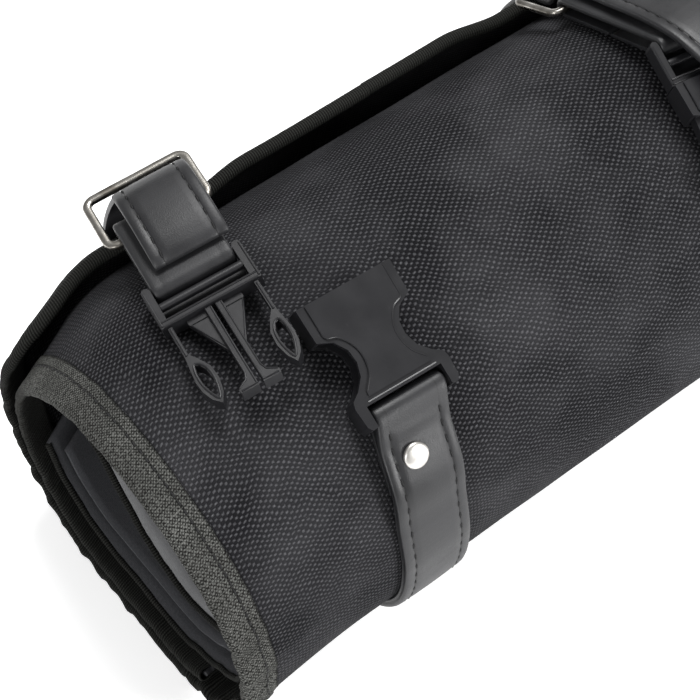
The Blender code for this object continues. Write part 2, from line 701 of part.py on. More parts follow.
def make_right_strap():
    """The fastened right strap."""
    plug_matrix = frame_matrix(*RIGHT_PLUG)
    frame_at = frame_matrix(*RIGHT_FRAME)
    slide = add_empty("plug_R_slide", plug_matrix)
    route = [(-34.0, 130.4), (-24.0, 131.8), (-8.0, 132.2), (8.0, 128.6), (22.0, 123.6),
             (34.0, 119.3), (41.5, 116.0), (46.6, 111.6), (49.0, 106.2), (51.3, 101.8),
             (56.2, 99.6), (60.2, 98.7), (63.6, 97.0)]
    strap_x = 87.0
    free = [Vector((strap_x, y, z)) for y, z in route]
    free += [section_point(angle, REAR_HEIGHT + rise, strap_x)
             for angle, rise in ((31.0, 0.4), (23.0, 0.1))]
    world = add_empty("plug_R_world", Matrix.Identity(4), slide)
    make_rear_strap("R", Vector((1, 0, 0)), free, strap_x, world, (0, 0, 0))
    plug_bar = world_of(plug_matrix, (0.0, PLUG_BAR_Y, 0.0))
    frame_bar = world_of(frame_at, (0.0, 0.0, 0.0))
    rows = loop_rows(plug_bar, axis_of(plug_matrix, 0), frame_bar, axis_of(frame_at, 0),
                     LOOP_INNER, TAB_WIDTH, TAB_LEATHER)
    sheet("tab_R", rows, TAB_LEATHER, LEATHER_BLACK, world, (0, 0, 0))
    frame = add_empty("frame_R_pivot", frame_at, slide)
    make_frame("frame_R", frame, (0, 0, 0), 0.0)
    plug = add_empty("plug_R_bar", turned_frame(plug_bar, plug_matrix), slide)
    make_plug("plug_R", plug, (0, PLUG_BAR_Y, 0))
    make_arms("R", plug)

    socket_empty = add_empty("socket_R_place", plug_matrix)
    make_socket("socket_R", socket_empty, (0, 0, 0), RIGHT_MOUTH)
    bar = world_of(plug_matrix, (0.0, RIGHT_MOUTH + SOCKET_BAR_Y, 0.0))
    free, sewn, rivet_at, rivet_out, _ = front_strap_routes(
        bar, axis_of(plug_matrix, 0), 10.0)
    leather = strap("strap_R_front", free)
    make_riveted("R", leather, rivet_at, rivet_out)
    strap("strap_R_base", sewn)


def turned_frame(origin, matrix):
    return Matrix.Translation(metres(origin)) @ matrix.to_3x3().to_4x4()


clear_scene()
PARTS = make_collection(COLLECTION)
CUTTERS = make_collection("cutters")
CLOTH = make_material("canvas", (0.035, 0.036, 0.040), 0.9)
LINING = make_material("lining", (0.09, 0.09, 0.095), 0.85)
TAPE = make_material("binding_tape", (0.030, 0.031, 0.032), 0.85)
LEATHER_BLACK = make_material("leather", (0.020, 0.020, 0.022), 0.5)
PLASTIC = make_material("plastic", (0.013, 0.013, 0.015), 0.35)
METAL = make_material("nickel", (0.72, 0.70, 0.66), 0.3, 1.0)

make_cloth()
make_bindings()
make_lining()
make_left_strap()
make_right_strap()
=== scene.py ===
"""Carving tool roll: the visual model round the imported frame.

Lengths are millimetres, and MM makes them metres. A turn is one wrap of the canvas, counted from the
flap's free edge inwards.
"""

import math

import bmesh
import bpy
import numpy as np
from mathutils import Matrix, Vector, noise


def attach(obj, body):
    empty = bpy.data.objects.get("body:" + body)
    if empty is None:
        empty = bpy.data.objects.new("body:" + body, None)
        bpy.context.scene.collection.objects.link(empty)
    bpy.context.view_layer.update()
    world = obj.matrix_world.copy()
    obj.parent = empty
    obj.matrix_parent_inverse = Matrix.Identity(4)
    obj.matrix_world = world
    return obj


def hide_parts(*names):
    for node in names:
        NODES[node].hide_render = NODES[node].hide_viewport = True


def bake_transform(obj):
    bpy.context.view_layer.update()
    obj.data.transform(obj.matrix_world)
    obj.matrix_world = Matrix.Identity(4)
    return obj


MM = 0.001
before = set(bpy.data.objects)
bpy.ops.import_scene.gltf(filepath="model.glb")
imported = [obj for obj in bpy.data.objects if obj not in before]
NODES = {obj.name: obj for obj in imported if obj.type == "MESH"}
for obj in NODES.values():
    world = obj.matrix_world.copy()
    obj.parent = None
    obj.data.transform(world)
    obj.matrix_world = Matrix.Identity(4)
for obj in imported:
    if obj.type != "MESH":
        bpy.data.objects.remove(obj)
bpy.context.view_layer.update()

ALONG_ROLL, UPWARD = Vector((1.0, 0.0, 0.0)), Vector((0.0, 0.0, 1.0))

# -------- the rolled section, as in the CAD

HALF_LENGTH, HALF_WIDTH, HALF_HEIGHT, FLAT_DEPTH = 161.0, 76.0, 58.0, 3.0
END_HALF_WIDTH, END_HALF_HEIGHT, END_SHIFT_Y, TAPER_START = 67.0, 54.5, -10.5, 122.0
LOWER_ROUNDNESS, FREE_EDGE_ANGLE, CANVAS = 0.85, 38.0, 1.6
INNER_END_TURN = 1.47
TURN_MM = 433.0           # one turn of the outer wrap, along the cloth
CORNER = 26.0             # radius of the flap's cut corners
STRAP_WIDTH, TAB_WIDTH, LEATHER, TAB_LEATHER = 26.5, 28.4, 2.0, 1.8
LEFT_PLUG = ((-105.4, 13.8, 118.9), -10.5, -1.5, -10.0)
LEFT_SOCKET = ((-74.1, -16.6, 122.6), -3.2, 26.7)
RIGHT_PLUG = ((84.5, -12.4, 123.3), -10.0, 21.0)
RIGHT_FRAME = ((84.0, 40.0, 110.2), 2.0, -24.0)
RIGHT_MOUTH, LEFT_FRAME_BAR, LEFT_TAB_END, PLUG_BAR_Y = -10.3, 30.0, 33.5, 5.5
SOCKET_BAR_Y, SOCKET_BAR_RADIUS = -40.5, 1.5
HINGE_ANGLE, REAR_HEIGHT, FRONT_HINGE_ANGLE = 15.0, 5.2, 176.0
STRAP_HEIGHT, LAYER_STEP, TAIL_HEIGHT = 1.5, 2.45, 3.3
STRAP_SETTLED, TAIL_SETTLED, LAYERS_MEET, RIVET_TURN = 60.0, 9.0, 9.0, 13.0
STITCH_PITCH, STITCH_LENGTH, TAPE_STITCH_PITCH = 4.0, 3.1, 2.7
LOWER_PLY = 1.3           # the front straps' second layer, which the CAD leaves out
STRAP_CENTRES = (-92.0, 86.5)
LEFT_SEWN_X, RIGHT_SEWN_X, LEFT_FRONT_SEWN_X = -91.5, 87.0, -88.0
CLOTH_HALF_LENGTH = HALF_LENGTH - 2.3
CANVAS_START = 0.004      # the canvas begins just inside the binding on its free edge, in turns

# stretches of the free edge that no strap holds down: start, end, and how long the end takes to settle
FREE_STRETCHES = ((-78.0, 62.0, 26.0), (112.0, HALF_LENGTH, 16.0))

# how far the cloth sinks where it runs in under the flap's free edge: (turn, depth)
SINK = ((0.0, 0.0), (0.885, 0.0), (0.955, 2.2), (1.02, 2.6), (1.12, 0.5), (1.25, 0.0))

LIT_PALE_STRETCH = ((0.46, 0.0), (0.56, 1.0), (0.97, 1.0), (1.04, 0.2), (1.3, 0.0))    # of the binding tape: its paler, olive stretch is painted light where the tape faces the light
CREASE = math.radians(38)                   # edges sharper than this stay crisp on moulded plastic


def end_taper(x):
    """0 along the roll and 1 at its ends, rounded off where the CAD's taper has a corner."""
    share = (abs(x) - TAPER_START) / (HALF_LENGTH - TAPER_START)
    return 0.0 if share < -0.3 else min(1.0, (share + 0.3) ** 2 / 1.2 if share < 0.3 else share)


def section_point(angle, height, x):
    """A point at an angle round the roll's section, at a height over the canvas's own line."""
    taper = end_taper(x)
    half_width = HALF_WIDTH + taper * (END_HALF_WIDTH - HALF_WIDTH)
    half_height = HALF_HEIGHT + taper * (END_HALF_HEIGHT - HALF_HEIGHT)
    across = math.cos(math.radians(angle))
    upward = math.sin(math.radians(angle))
    if upward < 0:
        across = math.copysign(abs(across) ** LOWER_ROUNDNESS, across)
        upward = -abs(upward) ** LOWER_ROUNDNESS
    y = taper * END_SHIFT_Y + (half_width + height) * across
    z = half_height - FLAT_DEPTH + (half_height + height) * upward
    return Vector((x, y, max(z, -height)))


def wander(*place):
    """Smooth noise, from -1 to 1."""
    return noise.noise(Vector(place))


def circle(count):
    """Cosine and sine of count angles round a circle."""
    angles = [2 * math.pi * k / count for k in range(count)]
    return [(math.cos(a), math.sin(a)) for a in angles]


def ramp(value, stops):
    """Smooth steps between stops, which are (value, result) pairs."""
    for (t0, h0), (t1, h1) in zip(stops, stops[1:]):
        if value <= t1:
            blend = max(0.0, (value - t0) / (t1 - t0))
            return h0 + (h1 - h0) * blend * blend * (3 - 2 * blend)
    return stops[-1][1]


def layer_height(turn):
    return ramp(turn, ((0.0, 3.2), (0.10, 2.4), (0.22, 0.4), (0.30, -0.8), (0.93, -0.8),
                       (1.00, -2.2), (1.10, -6.0), (1.25, -9.5), (1.60, -10.5)))


def lift(turn, x):
    """How far the flap's free edge stands and curls up between the straps, and the cloth under it sinks."""
    amount = max(max(0.0, min(1.0, (x - start) / 26.0, (end - x) / fade))
                 for start, end, fade in FREE_STRETCHES)
    amount *= amount * (3 - 2 * amount)
    fall = min(1.0, max(0.0, 1.0 - turn / 0.075))
    curl = math.exp(-(max(0.0, turn) * TURN_MM / 7.0) ** 2)
    return amount * (1.3 * fall * fall + 1.6 * curl) - ramp(turn, SINK)


def spiral_point(turn, x, extra=0.0):
    height = layer_height(turn) + lift(turn, x) + extra
    return section_point(FREE_EDGE_ANGLE - 360.0 * turn, height, x)


def outward(turn, x):
    return (spiral_point(turn, x, 1.0) - spiral_point(turn, x, 0.0)).normalized()


def frame_matrix(origin, yaw, pitch, roll=0.0):
    turn = Matrix.Rotation(math.radians(yaw), 4, "Z") @ Matrix.Rotation(math.radians(pitch), 4, "X")
    return Matrix.Translation(Vector(origin)) @ turn @ Matrix.Rotation(math.radians(roll), 4, "Y")


def axis_of(matrix, index):
    return matrix.to_3x3().col[index].normalized()


def smooth_path(points, spacing=0.0, steps=0):
    points = [Vector(point) for point in points]
    padded = [2 * points[0] - points[1], *points, 2 * points[-1] - points[-2]]
    path = []
    for p0, p1, p2, p3 in zip(padded, padded[1:], padded[2:], padded[3:]):
        count = steps or max(1, round((p2 - p1).length / spacing))
        for i in range(count):
            t = i / count
            path.append(0.5 * (2 * p1 + (p2 - p0) * t + (2 * p0 - 5 * p1 + 4 * p2 - p3) * t * t
                               + (3 * p1 - p0 - 3 * p2 + p3) * t ** 3))
    return path + [points[-1]]


# -------- mesh helpers


def new_object(name, mesh, material):
    obj = bpy.data.objects.new(name, mesh)
    bpy.context.scene.collection.objects.link(obj)
    mesh.materials.append(material)
    return obj


def shade_smooth(mesh):
    mesh.polygons.foreach_set("use_smooth", [True] * len(mesh.polygons))


def mend_normals(mesh, merge=0.0):
    """Turns all faces outwards, after merging points that lie within merge of each other."""
    bm = bmesh.new()
    bm.from_mesh(mesh)
    if merge:
        bmesh.ops.remove_doubles(bm, verts=bm.verts, dist=merge)
    bmesh.ops.recalc_face_normals(bm, faces=bm.faces)
    bm.to_mesh(mesh)
    bm.free()


def set_point_values(obj, name, values):
    """A number for each of a mesh's points, which a material reads by name."""
    obj.data.attributes.new(name, "FLOAT", "POINT").data.foreach_set("value", values)


def grid_object(name, rows, uvs, material, thickness=0.0, close_v=False, caps=False):
    """A grid of points in millimetres, rows by columns, with UVs in millimetres."""
    n, m = len(rows), len(rows[0])
    verts = [tuple(p * MM) for row in rows for p in row]
    faces, loops = [], []
    across = m if close_v else m - 1
    for i in range(n - 1):
        for j in range(across):
            k = (j + 1) % m
            faces.append((i * m + j, i * m + k, (i + 1) * m + k, (i + 1) * m + j))
            u0, u1, u2, u3 = uvs[i][j], uvs[i][j + 1], uvs[i + 1][j + 1], uvs[i + 1][j]
            loops += [u0, u1, u2, u3]
    if caps:
        faces.append(tuple(range(m - 1, -1, -1)))
        loops += [uvs[0][j] for j in range(m - 1, -1, -1)]
        faces.append(tuple((n - 1) * m + j for j in range(m)))
        loops += [uvs[n - 1][j] for j in range(m)]
    mesh = bpy.data.meshes.new(name)
    mesh.from_pydata(verts, [], faces)
    layer = mesh.uv_layers.new(name="UVMap")
    flat = [c for uv in loops for c in uv]
    layer.data.foreach_set("uv", flat)
    mend_normals(mesh)
    shade_smooth(mesh)
    obj = new_object(name, mesh, material)
    if thickness:
        solid = obj.modifiers.new("thickness", "SOLIDIFY")
        solid.thickness = thickness * MM
        solid.offset = 0.0
    return obj


def from_bmesh(name, bm, material, matrix, smooth_angle):
    """A finished bmesh in millimetres, moved by matrix, as an object in metres."""
    bmesh.ops.transform(bm, matrix=matrix, verts=bm.verts)
    bmesh.ops.scale(bm, vec=(MM, MM, MM), verts=bm.verts)
    mesh = bpy.data.meshes.new(name)
    bm.to_mesh(mesh)
    bm.free()
    shade_smooth(mesh)
    mesh.set_sharp_from_angle(angle=math.radians(smooth_angle))
    return new_object(name, mesh, material)


def put(piece, body, slot, *replaced):
    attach(piece, body)
    if replaced:
        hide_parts(*replaced)


def join_meshes(name, parts, material):
    """Many (verts, faces) lists in millimetres as one object."""
    verts, faces = [], []
    for v, f in parts:
        base = len(verts)
        verts += [tuple(Vector(p) * MM) for p in v]
        faces += [tuple(base + i for i in face) for face in f]
    mesh = bpy.data.meshes.new(name)
    mesh.from_pydata(verts, [], faces)
    shade_smooth(mesh)
    return new_object(name, mesh, material)


def stitch(centre, along, up, length, radius):
    """One stitch: a low capsule that dips into the leather or cloth at its ends."""
    along, up = along.normalized(), up.normalized()
    side = along.cross(up)
    verts, faces = [], []
    stations = ((-0.5, 0.25, -0.35), (-0.38, 0.9, -0.08), (0.0, 1.0, 0.10), (0.36, 0.7, -0.06),
                (0.5, 0.25, -0.35))
    for share, size, rise in stations:
        middle = centre + along * share * length + up * rise
        verts += [middle + radius * size * (c * side + 0.8 * s * up) for c, s in circle(6)]
    for i in range(len(stations) - 1):
        for k in range(6):
            q = (k + 1) % 6
            faces.append((i * 6 + k, i * 6 + q, i * 6 + 6 + q, i * 6 + 6 + k))
    faces.append(tuple(range(5, -1, -1)))
    faces.append(tuple(range(len(verts) - 6, len(verts))))
    return verts, faces


# -------- materials


class Nodes:
    """Short calls for building a material's nodes, from numbers, colours and other nodes' outputs."""

    def __init__(self, name, roughness, metallic=0.0, specular=0.5):
        self.material = bpy.data.materials.new(name)
        self.material.use_nodes = True
        self.tree = self.material.node_tree
        self.shader = self.tree.nodes["Principled BSDF"]
        self.fill(self.shader, {"Roughness": roughness, "Metallic": metallic, "Specular IOR Level": specular})

    def fill(self, node, inputs):
        for key, value in inputs.items():
            socket = node.inputs[key]
            if isinstance(value, bpy.types.NodeSocket):
                self.tree.links.new(value, socket)
            elif value is not None:
                socket.default_value = (*value, 1.0) if socket.type == "RGBA" else value

    def add(self, kind, inputs, output=0, **settings):
        node = self.tree.nodes.new(kind)
        for key, value in settings.items():
            setattr(node, key, value)
        self.fill(node, inputs)
        return node.outputs[output]

    def math(self, operation, a, b=0.0):
        return self.add("ShaderNodeMath", {0: a, 1: b}, operation=operation)

    def times(self, a, b):
        return self.math("MULTIPLY", a, b)

    def plus(self, a, b):
        return self.math("ADD", a, b)

    def uv(self):
        vector = self.add("ShaderNodeUVMap", {}, uv_map="UVMap")
        along = self.add("ShaderNodeSeparateXYZ", {0: vector})
        return vector, along, along.node.outputs[1]

    def point(self):
        return self.add("ShaderNodeTexCoord", {}, "Object")

    def attribute(self, name):
        return self.add("ShaderNodeAttribute", {}, "Fac", attribute_name=name)

    def noise(self, vector, scale, detail=3.0, roughness=0.55):
        return self.add("ShaderNodeTexNoise", {"Vector": vector, "Scale": scale, "Detail": detail,
                                               "Roughness": roughness})

    def voronoi(self, vector, scale):
        return self.add("ShaderNodeTexVoronoi", {"Vector": vector, "Scale": scale})

    def stretch(self, vector, scale):
        return self.add("ShaderNodeMapping", {"Vector": vector, "Scale": scale})

    def between(self, value, low, high, out_low=0.0, out_high=1.0):
        return self.add("ShaderNodeMapRange", {"Value": value, "From Min": low, "From Max": high,
                                               "To Min": out_low, "To Max": out_high}, clamp=True)

    def mix(self, factor, first, second):
        return self.add("ShaderNodeMix", {0: factor, 6: first, 7: second}, 2, data_type="RGBA")

    def bump(self, height, distance, strength, normal=None):
        return self.add("ShaderNodeBump", {"Height": height, "Distance": distance * MM,
                                           "Strength": strength, "Normal": normal})

    def finish(self, colour, normal=None, roughness=None):
        self.fill(self.shader, {"Base Color": colour, "Normal": normal, "Roughness": roughness})
        return self.material


def weave(n, u, v, pitch_u, pitch_v):
    """Height of a plain weave, and how much of it is the raised, paler thread."""
    a = n.math("SINE", n.times(u, math.pi / pitch_u))
    b = n.math("SINE", n.times(v, math.pi / pitch_v))
    cell = n.times(a, b)
    over = n.math("POWER", n.math("MAXIMUM", cell, 0.0), 0.85)
    under = n.math("POWER", n.math("MAXIMUM", n.times(cell, -1.0), 0.0), 0.7)
    return n.plus(over, n.times(under, 0.45)), over


WEAVE_PITCH = (1.42, 0.97)          # the canvas, along the roll and round it
RIB_PITCH, CROSS_PITCH = 0.95, 0.8  # the tape, along it and across it
FINE_PITCH, LINING_PITCH = 0.62, 0.55
SEAM_GIRTH = 4.05                   # the tape's seam, measured across it from its upper edge
SHADOW = (0.0015, 0.0015, 0.0015)


def canvas_material():
    """Coarse black canvas with paler raised threads, some lint and faded patches."""
    dark, light = (0.0078, 0.0078, 0.0090), (0.140, 0.140, 0.149)
    n = Nodes("canvas_cloth", roughness=0.92, specular=0.08)
    vector, u, v = n.uv()
    wobble = n.noise(n.stretch(vector, (0.12, 0.12, 0.12)), 1.0, 3.0)
    wobble = n.times(n.math("SUBTRACT", wobble, 0.5), 2.2)
    height, over = weave(n, n.plus(u, wobble), n.plus(v, wobble), *WEAVE_PITCH)
    fuzz = n.noise(vector, 1.9, 4.0, 0.7)
    patch = n.noise(vector, 0.021, 3.0)
    thread = n.noise(n.stretch(vector, (0.05, 0.72, 0.72)), 1.0, 2.0)
    light_share = n.times(over, n.between(fuzz, 0.32, 0.68, 0.20, 1.0))
    light_share = n.times(light_share, n.between(thread, 0.3, 0.7, 0.55, 1.0))
    colour = n.mix(light_share, dark, light)
    faded = n.between(patch, 0.42, 0.70, 0.0, 0.12)
    colour = n.mix(faded, colour, tuple(1.25 * c for c in light))
    lint = n.between(n.noise(n.stretch(vector, (0.35, 1.3, 1.0)), 1.1, 1.0), 0.78, 0.84)
    colour = n.mix(n.times(lint, 0.4), colour, (0.16, 0.16, 0.155))
    normal = n.bump(height, 0.36, 1.0)
    normal = n.bump(fuzz, 0.12, 0.9, normal)
    return n.finish(colour, normal)


def tape_material():
    """Ribbed binding tape: ribs run across its length, which is the U direction.

    Its tone attribute mixes in the paler, olive look of the stretch that faces the light: painted light, in
    random patches.
    """
    dark, light = (0.0035, 0.0035, 0.0033), (0.050, 0.051, 0.046)
    n = Nodes("rim_tape", roughness=0.9, specular=0.08)
    vector, u, v = n.uv()
    tone = n.attribute("tone")
    rib = n.math("SINE", n.times(u, 2 * math.pi / RIB_PITCH))
    rib = n.plus(n.times(rib, 0.5), 0.5)
    cross = n.math("SINE", n.times(v, 2 * math.pi / CROSS_PITCH))
    cross = n.plus(n.times(cross, 0.18), 0.82)
    height = n.times(rib, cross)
    fuzz = n.noise(vector, 2.2, 4.0, 0.7)
    colour = n.mix(n.times(height, n.between(fuzz, 0.3, 0.75, 0.3, 1.0)), dark, light)
    patch = n.noise(vector, 0.06, 3.0)
    # painted light: the paler, olive stretch where the tape faces the light, patchy at random
    worn = n.times(n.between(patch, 0.30, 0.70, 0.45, 0.9), tone)
    _, threads = weave(n, u, v, FINE_PITCH, FINE_PITCH)
    grain = n.times(n.noise(vector, 0.9, 3.0, 0.8), 0.72)
    grain = n.plus(grain, n.times(threads, 0.20))
    grain = n.plus(grain, n.times(height, 0.08))
    olive = n.mix(n.between(grain, 0.36, 0.60), (0.012, 0.012, 0.011), (0.185, 0.187, 0.176))
    colour = n.mix(worn, colour, olive)
    colour = n.mix(n.between(v, 0.0, 0.9, 0.92, 0.0), colour, SHADOW)
    seam = n.math("ABSOLUTE", n.math("SUBTRACT", v, SEAM_GIRTH))
    colour = n.mix(n.between(seam, 0.12, 0.50, 0.62, 0.0), colour, SHADOW)
    normal = n.bump(height, 0.30, 0.8)
    normal = n.bump(fuzz, 0.14, 0.9, normal)
    return n.finish(colour, normal)


def lining_material():
    """Smooth grey lining. Its tone attribute goes from the dark inside to the paler, lit layer."""
    n = Nodes("lining_cloth", roughness=0.9, specular=0.1)
    vector, u, v = n.uv()
    height, _ = weave(n, u, v, LINING_PITCH, LINING_PITCH)
    fuzz = n.noise(vector, 1.4, 5.0, 0.7)
    patch = n.noise(vector, 0.03, 3.0)
    inside = n.mix(n.between(fuzz, 0.3, 0.7), (0.040, 0.041, 0.045), (0.075, 0.076, 0.082))
    colour = n.mix(n.between(fuzz, 0.3, 0.7), (0.200, 0.202, 0.208), (0.280, 0.282, 0.288))
    colour = n.mix(n.between(patch, 0.4, 0.7, 0.0, 0.5), colour, (0.320, 0.322, 0.328))
    colour = n.mix(n.attribute("tone"), inside, colour)
    normal = n.bump(fuzz, 0.15, 0.7, n.bump(height, 0.08, 0.6))
    return n.finish(colour, normal)


def leather_material():
    """Black grained leather. Its seam attribute paints shade into the sunk stitch lines."""
    base, worn = (0.011, 0.0112, 0.0125), (0.032, 0.032, 0.035)
    n = Nodes("black_leather", roughness=0.42, specular=0.42)
    point = n.point()
    cells = n.voronoi(point, 2600.0)
    fine = n.noise(point, 1400.0, 4.0)
    broad = n.noise(point, 60.0, 3.0)
    crease = n.noise(n.stretch(point, (40.0, 260.0, 260.0)), 1.0, 3.0)
    colour = n.mix(n.between(broad, 0.35, 0.75, 0.0, 0.55), base, worn)
    rough = n.between(n.plus(broad, n.times(fine, 0.4)), 0.4, 1.0, 0.34, 0.58)
    # painted shade along the sunk stitch grooves
    colour = n.mix(n.times(n.attribute("seam"), 0.85), colour, (0.002, 0.002, 0.002))
    normal = n.bump(cells, 0.05, 0.55)
    normal = n.bump(fine, 0.06, 0.5, normal)
    normal = n.bump(crease, 0.25, 0.35, normal)
    return n.finish(colour, normal, rough)


def plastic_material():
    n = Nodes("moulded_plastic", roughness=0.33, specular=0.45)
    point = n.point()
    spots = n.noise(point, 900.0, 3.0)
    broad = n.noise(point, 90.0, 3.0)
    scratch = n.noise(n.stretch(point, (900.0, 60.0, 900.0)), 1.0, 2.0)
    colour = n.mix(n.between(broad, 0.3, 0.8), (0.0100, 0.0100, 0.0115), (0.0140, 0.0140, 0.0158))
    colour = n.mix(n.between(scratch, 0.70, 0.78, 0.0, 0.35), colour, (0.06, 0.06, 0.062))
    rough = n.between(n.plus(broad, n.times(spots, 0.3)), 0.4, 0.9, 0.30, 0.38)
    normal = n.bump(spots, 0.03, 0.4, n.bump(broad, 0.2, 0.25))
    return n.finish(colour, normal, rough)


def rivet_material():
    n = Nodes("bright_nickel", roughness=0.38, metallic=1.0)
    broad = n.noise(n.point(), 220.0, 3.0)
    colour = n.mix(n.between(broad, 0.35, 0.7), (0.72, 0.70, 0.665), (0.50, 0.485, 0.46))
    return n.finish(colour, n.bump(broad, 0.05, 0.3), n.between(broad, 0.3, 0.7, 0.30, 0.46))


def metal_material():
    n = Nodes("worn_nickel", roughness=0.3, metallic=1.0)
    point = n.point()
    broad = n.noise(point, 160.0, 4.0)
    fine = n.noise(point, 1500.0, 2.0)
    colour = n.mix(n.between(broad, 0.36, 0.62), (0.40, 0.385, 0.355), (0.13, 0.12, 0.105))
    rough = n.between(broad, 0.35, 0.7, 0.20, 0.42)
    normal = n.bump(fine, 0.03, 0.4, n.bump(broad, 0.15, 0.4))
    return n.finish(colour, normal, rough)


def thread_material():
    n = Nodes("black_thread", roughness=0.6, specular=0.3)
    fine = n.noise(n.point(), 2500.0, 2.0)
    colour = n.mix(n.between(fine, 0.35, 0.65), (0.003, 0.003, 0.003), (0.012, 0.012, 0.013))
    return n.finish(colour, n.bump(fine, 0.06, 0.6))


CANVAS_CLOTH = canvas_material()
TAPE = tape_material()
LINING = lining_material()
LEATHER_BLACK = leather_material()
PLASTIC = plastic_material()
NICKEL = metal_material()
RIVET_NICKEL = rivet_material()
THREAD = thread_material()

# -------- cloth


def near_strap(x):
    """1 under the straps, 0 away from them."""
    gap = min(abs(x - centre) for centre in STRAP_CENTRES)
    return max(0.0, min(1.0, (24.0 - gap) / 8.0))


def gather(turn):
    """How strongly the binding is gathered along the winding."""
    return ramp(turn, ((0.0, 0.3), (0.06, 0.35), (0.14, 1.35), (0.60, 1.35), (0.68, 0.40),
                       (1.00, 0.30), (1.10, 0.7), (1.60, 0.7)))


def gather_wave(turn, end):
    """The uneven wave of a gathered edge. end is -1 at the roll's left end and 1 at its right."""
    s = turn * TURN_MM
    wave = 0.8 * math.sin(s / 2.3 + 2.1 * math.sin(s / 17.0) + 2.0 * end)
    wave += 0.35 * math.sin(s / 0.85 + 1.4 * math.sin(s / 6.0))
    wave += 1.5 * wander(s / 7.0, 3.0 * end, 0.4)
    return wave


def soft_drape(turn, x):
    """Small rise and fall of the canvas, none under the straps."""
    s = turn * TURN_MM
    soft = wander(x / 70.0, s / 60.0, 0.3) * 0.45
    soft += wander(x / 26.0, s / 30.0, 4.3) * 0.22
    return min(0.9, soft * (1.0 - 0.9 * near_strap(x)))


def drape(turn, x):
    """The soft rise and fall, with the puckers that the gathered binding pulls into the canvas."""
    inwards = HALF_LENGTH - abs(x)
    end = -1.0 if x < 0 else 1.0
    pucker = gather(turn) * gather_wave(turn, end) * math.exp(-inwards / 9.0) * 0.8
    return soft_drape(turn, x) + pucker


def free_corner(turn):
    """How far the cloth's end edge is pulled in where the flap's corner is rounded."""
    s = turn * TURN_MM
    if s >= CORNER:
        return 0.0
    return CORNER - math.sqrt(max(0.0, CORNER ** 2 - (CORNER - max(s, 0.0)) ** 2))


def cloth_edge(turn, end):
    return end * (CLOTH_HALF_LENGTH - free_corner(turn))


def make_canvas():
    """The wound canvas. Its columns lie closer at its ends, where it puckers, and at its middle."""
    steps, columns = 430, 150
    turns = [CANVAS_START + (INNER_END_TURN - CANVAS_START) * i / steps for i in range(steps + 1)]
    rows, uvs = [], []
    for turn in turns:
        left, right = cloth_edge(turn, -1.0), cloth_edge(turn, 1.0)
        row, uv = [], []
        for j in range(columns + 1):
            share = j / columns
            eased = share + 0.055 * math.sin(-4 * math.pi * share) / 2
            x = left + (right - left) * eased
            p = spiral_point(turn, x, drape(turn, x))
            p.z = max(p.z, CANVAS / 2)
            row.append(p)
            uv.append((x, turn * TURN_MM))
        rows.append(row)
        uvs.append(uv)
    return grid_object("canvas_wrap", rows, uvs, CANVAS_CLOTH, CANVAS)


def edge_stations(end):
    """(turn, x) along one bound edge: half the free edge, its round corner, then in along the end."""
    stations = []
    for x in np.linspace(0.0, CLOTH_HALF_LENGTH - CORNER, 110):
        stations.append((0.0, end * x))
    for a in np.linspace(4, 86, 26):
        a = math.radians(a)
        s = CORNER - CORNER * math.cos(a)
        x = CLOTH_HALF_LENGTH - CORNER + CORNER * math.sin(a)
        stations.append((s / TURN_MM, end * x))
    for turn in np.linspace(CORNER / TURN_MM, INNER_END_TURN, 540):
        stations.append((turn, end * CLOTH_HALF_LENGTH))
    return stations


# the folded tape's section: (inwards from the cloth's edge, up), from its upper leg round to its lower
PROFILE = ((10.6, 1.20), (8.6, 1.42), (6.6, 1.16), (4.4, 1.45), (2.0, 1.5), (0.4, 1.7), (-0.8, 1.6),
           (-1.7, 1.05), (-2.05, 0.0), (-1.7, -1.05), (-0.8, -1.6), (0.4, -1.7), (2.0, -1.5),
           (4.4, -1.45), (6.6, -1.16), (8.6, -1.42), (10.6, -1.20))


def make_tape(name, end):
    """Binding tape folded over the cloth's edge: free edge, corner and end in one length."""
    stations = edge_stations(end)
    base = [spiral_point(t, x) for t, x in stations]
    centre_x = end * (CLOTH_HALF_LENGTH - CORNER)
    rows, uvs, stitches = [], [], []
    length, since = 0.0, 0.0
    for i, (turn, x) in enumerate(stations):
        if i:
            step = (base[i] - base[i - 1]).length
            length += step
            since += step
        s = turn * TURN_MM
        if s >= CORNER:
            inward_x, inward_s = -end, 0.0
        elif end * x > end * centre_x:
            inward_x, inward_s = (centre_x - x) / CORNER, (CORNER - s) / CORNER
        else:
            inward_x, inward_s = 0.0, 1.0
        amount = gather(turn)
        wave = gather_wave(turn, end)
        free = 1.0 - min(1.0, s / CORNER)
        puff = 1.0 + 0.10 * amount * wander(length / 4.0, 7.0 * end, 2.0) + 0.30 * free
        sideways = -0.55 * amount * wander(length / 5.5, 1.0, 5.0 * end)
        row, uv, girth = [], [], 0.0
        for a, b in PROFILE:
            width = a * (1.0 - 0.45 * free) if a > 0 else a * (1.0 + 0.2 * free)
            at_turn = turn + inward_s * (width + sideways) / TURN_MM
            at_x = x + inward_x * (width + sideways)
            ripple = 0.8 * amount * wave * math.exp(-max(0.0, a) / 9.0)
            p = spiral_point(at_turn, at_x, b * puff + ripple + soft_drape(at_turn, at_x))
            p.z = max(p.z, 0.25)
            if row:
                girth += (p - row[-1]).length
            row.append(p)
            uv.append((length, girth))
        rows.append(row)
        uvs.append(uv)
        if since > TAPE_STITCH_PITCH and i + 1 < len(stations):
            since = 0.0
            up = outward(turn, x)
            stitches.append(stitch(row[2] + up * 0.36, base[i + 1] - base[i], up, 2.1, 0.42))
    tape = grid_object(name, rows, uvs, TAPE, 0.55)
    # tone marks the stretch of the binding that is painted paler, as painted light
    set_point_values(tape, "tone", [ramp(turn, LIT_PALE_STRETCH) for turn, _ in stations for _ in PROFILE])
    thread = join_meshes(f"{name}_stitches", stitches, THREAD)
    return tape, thread


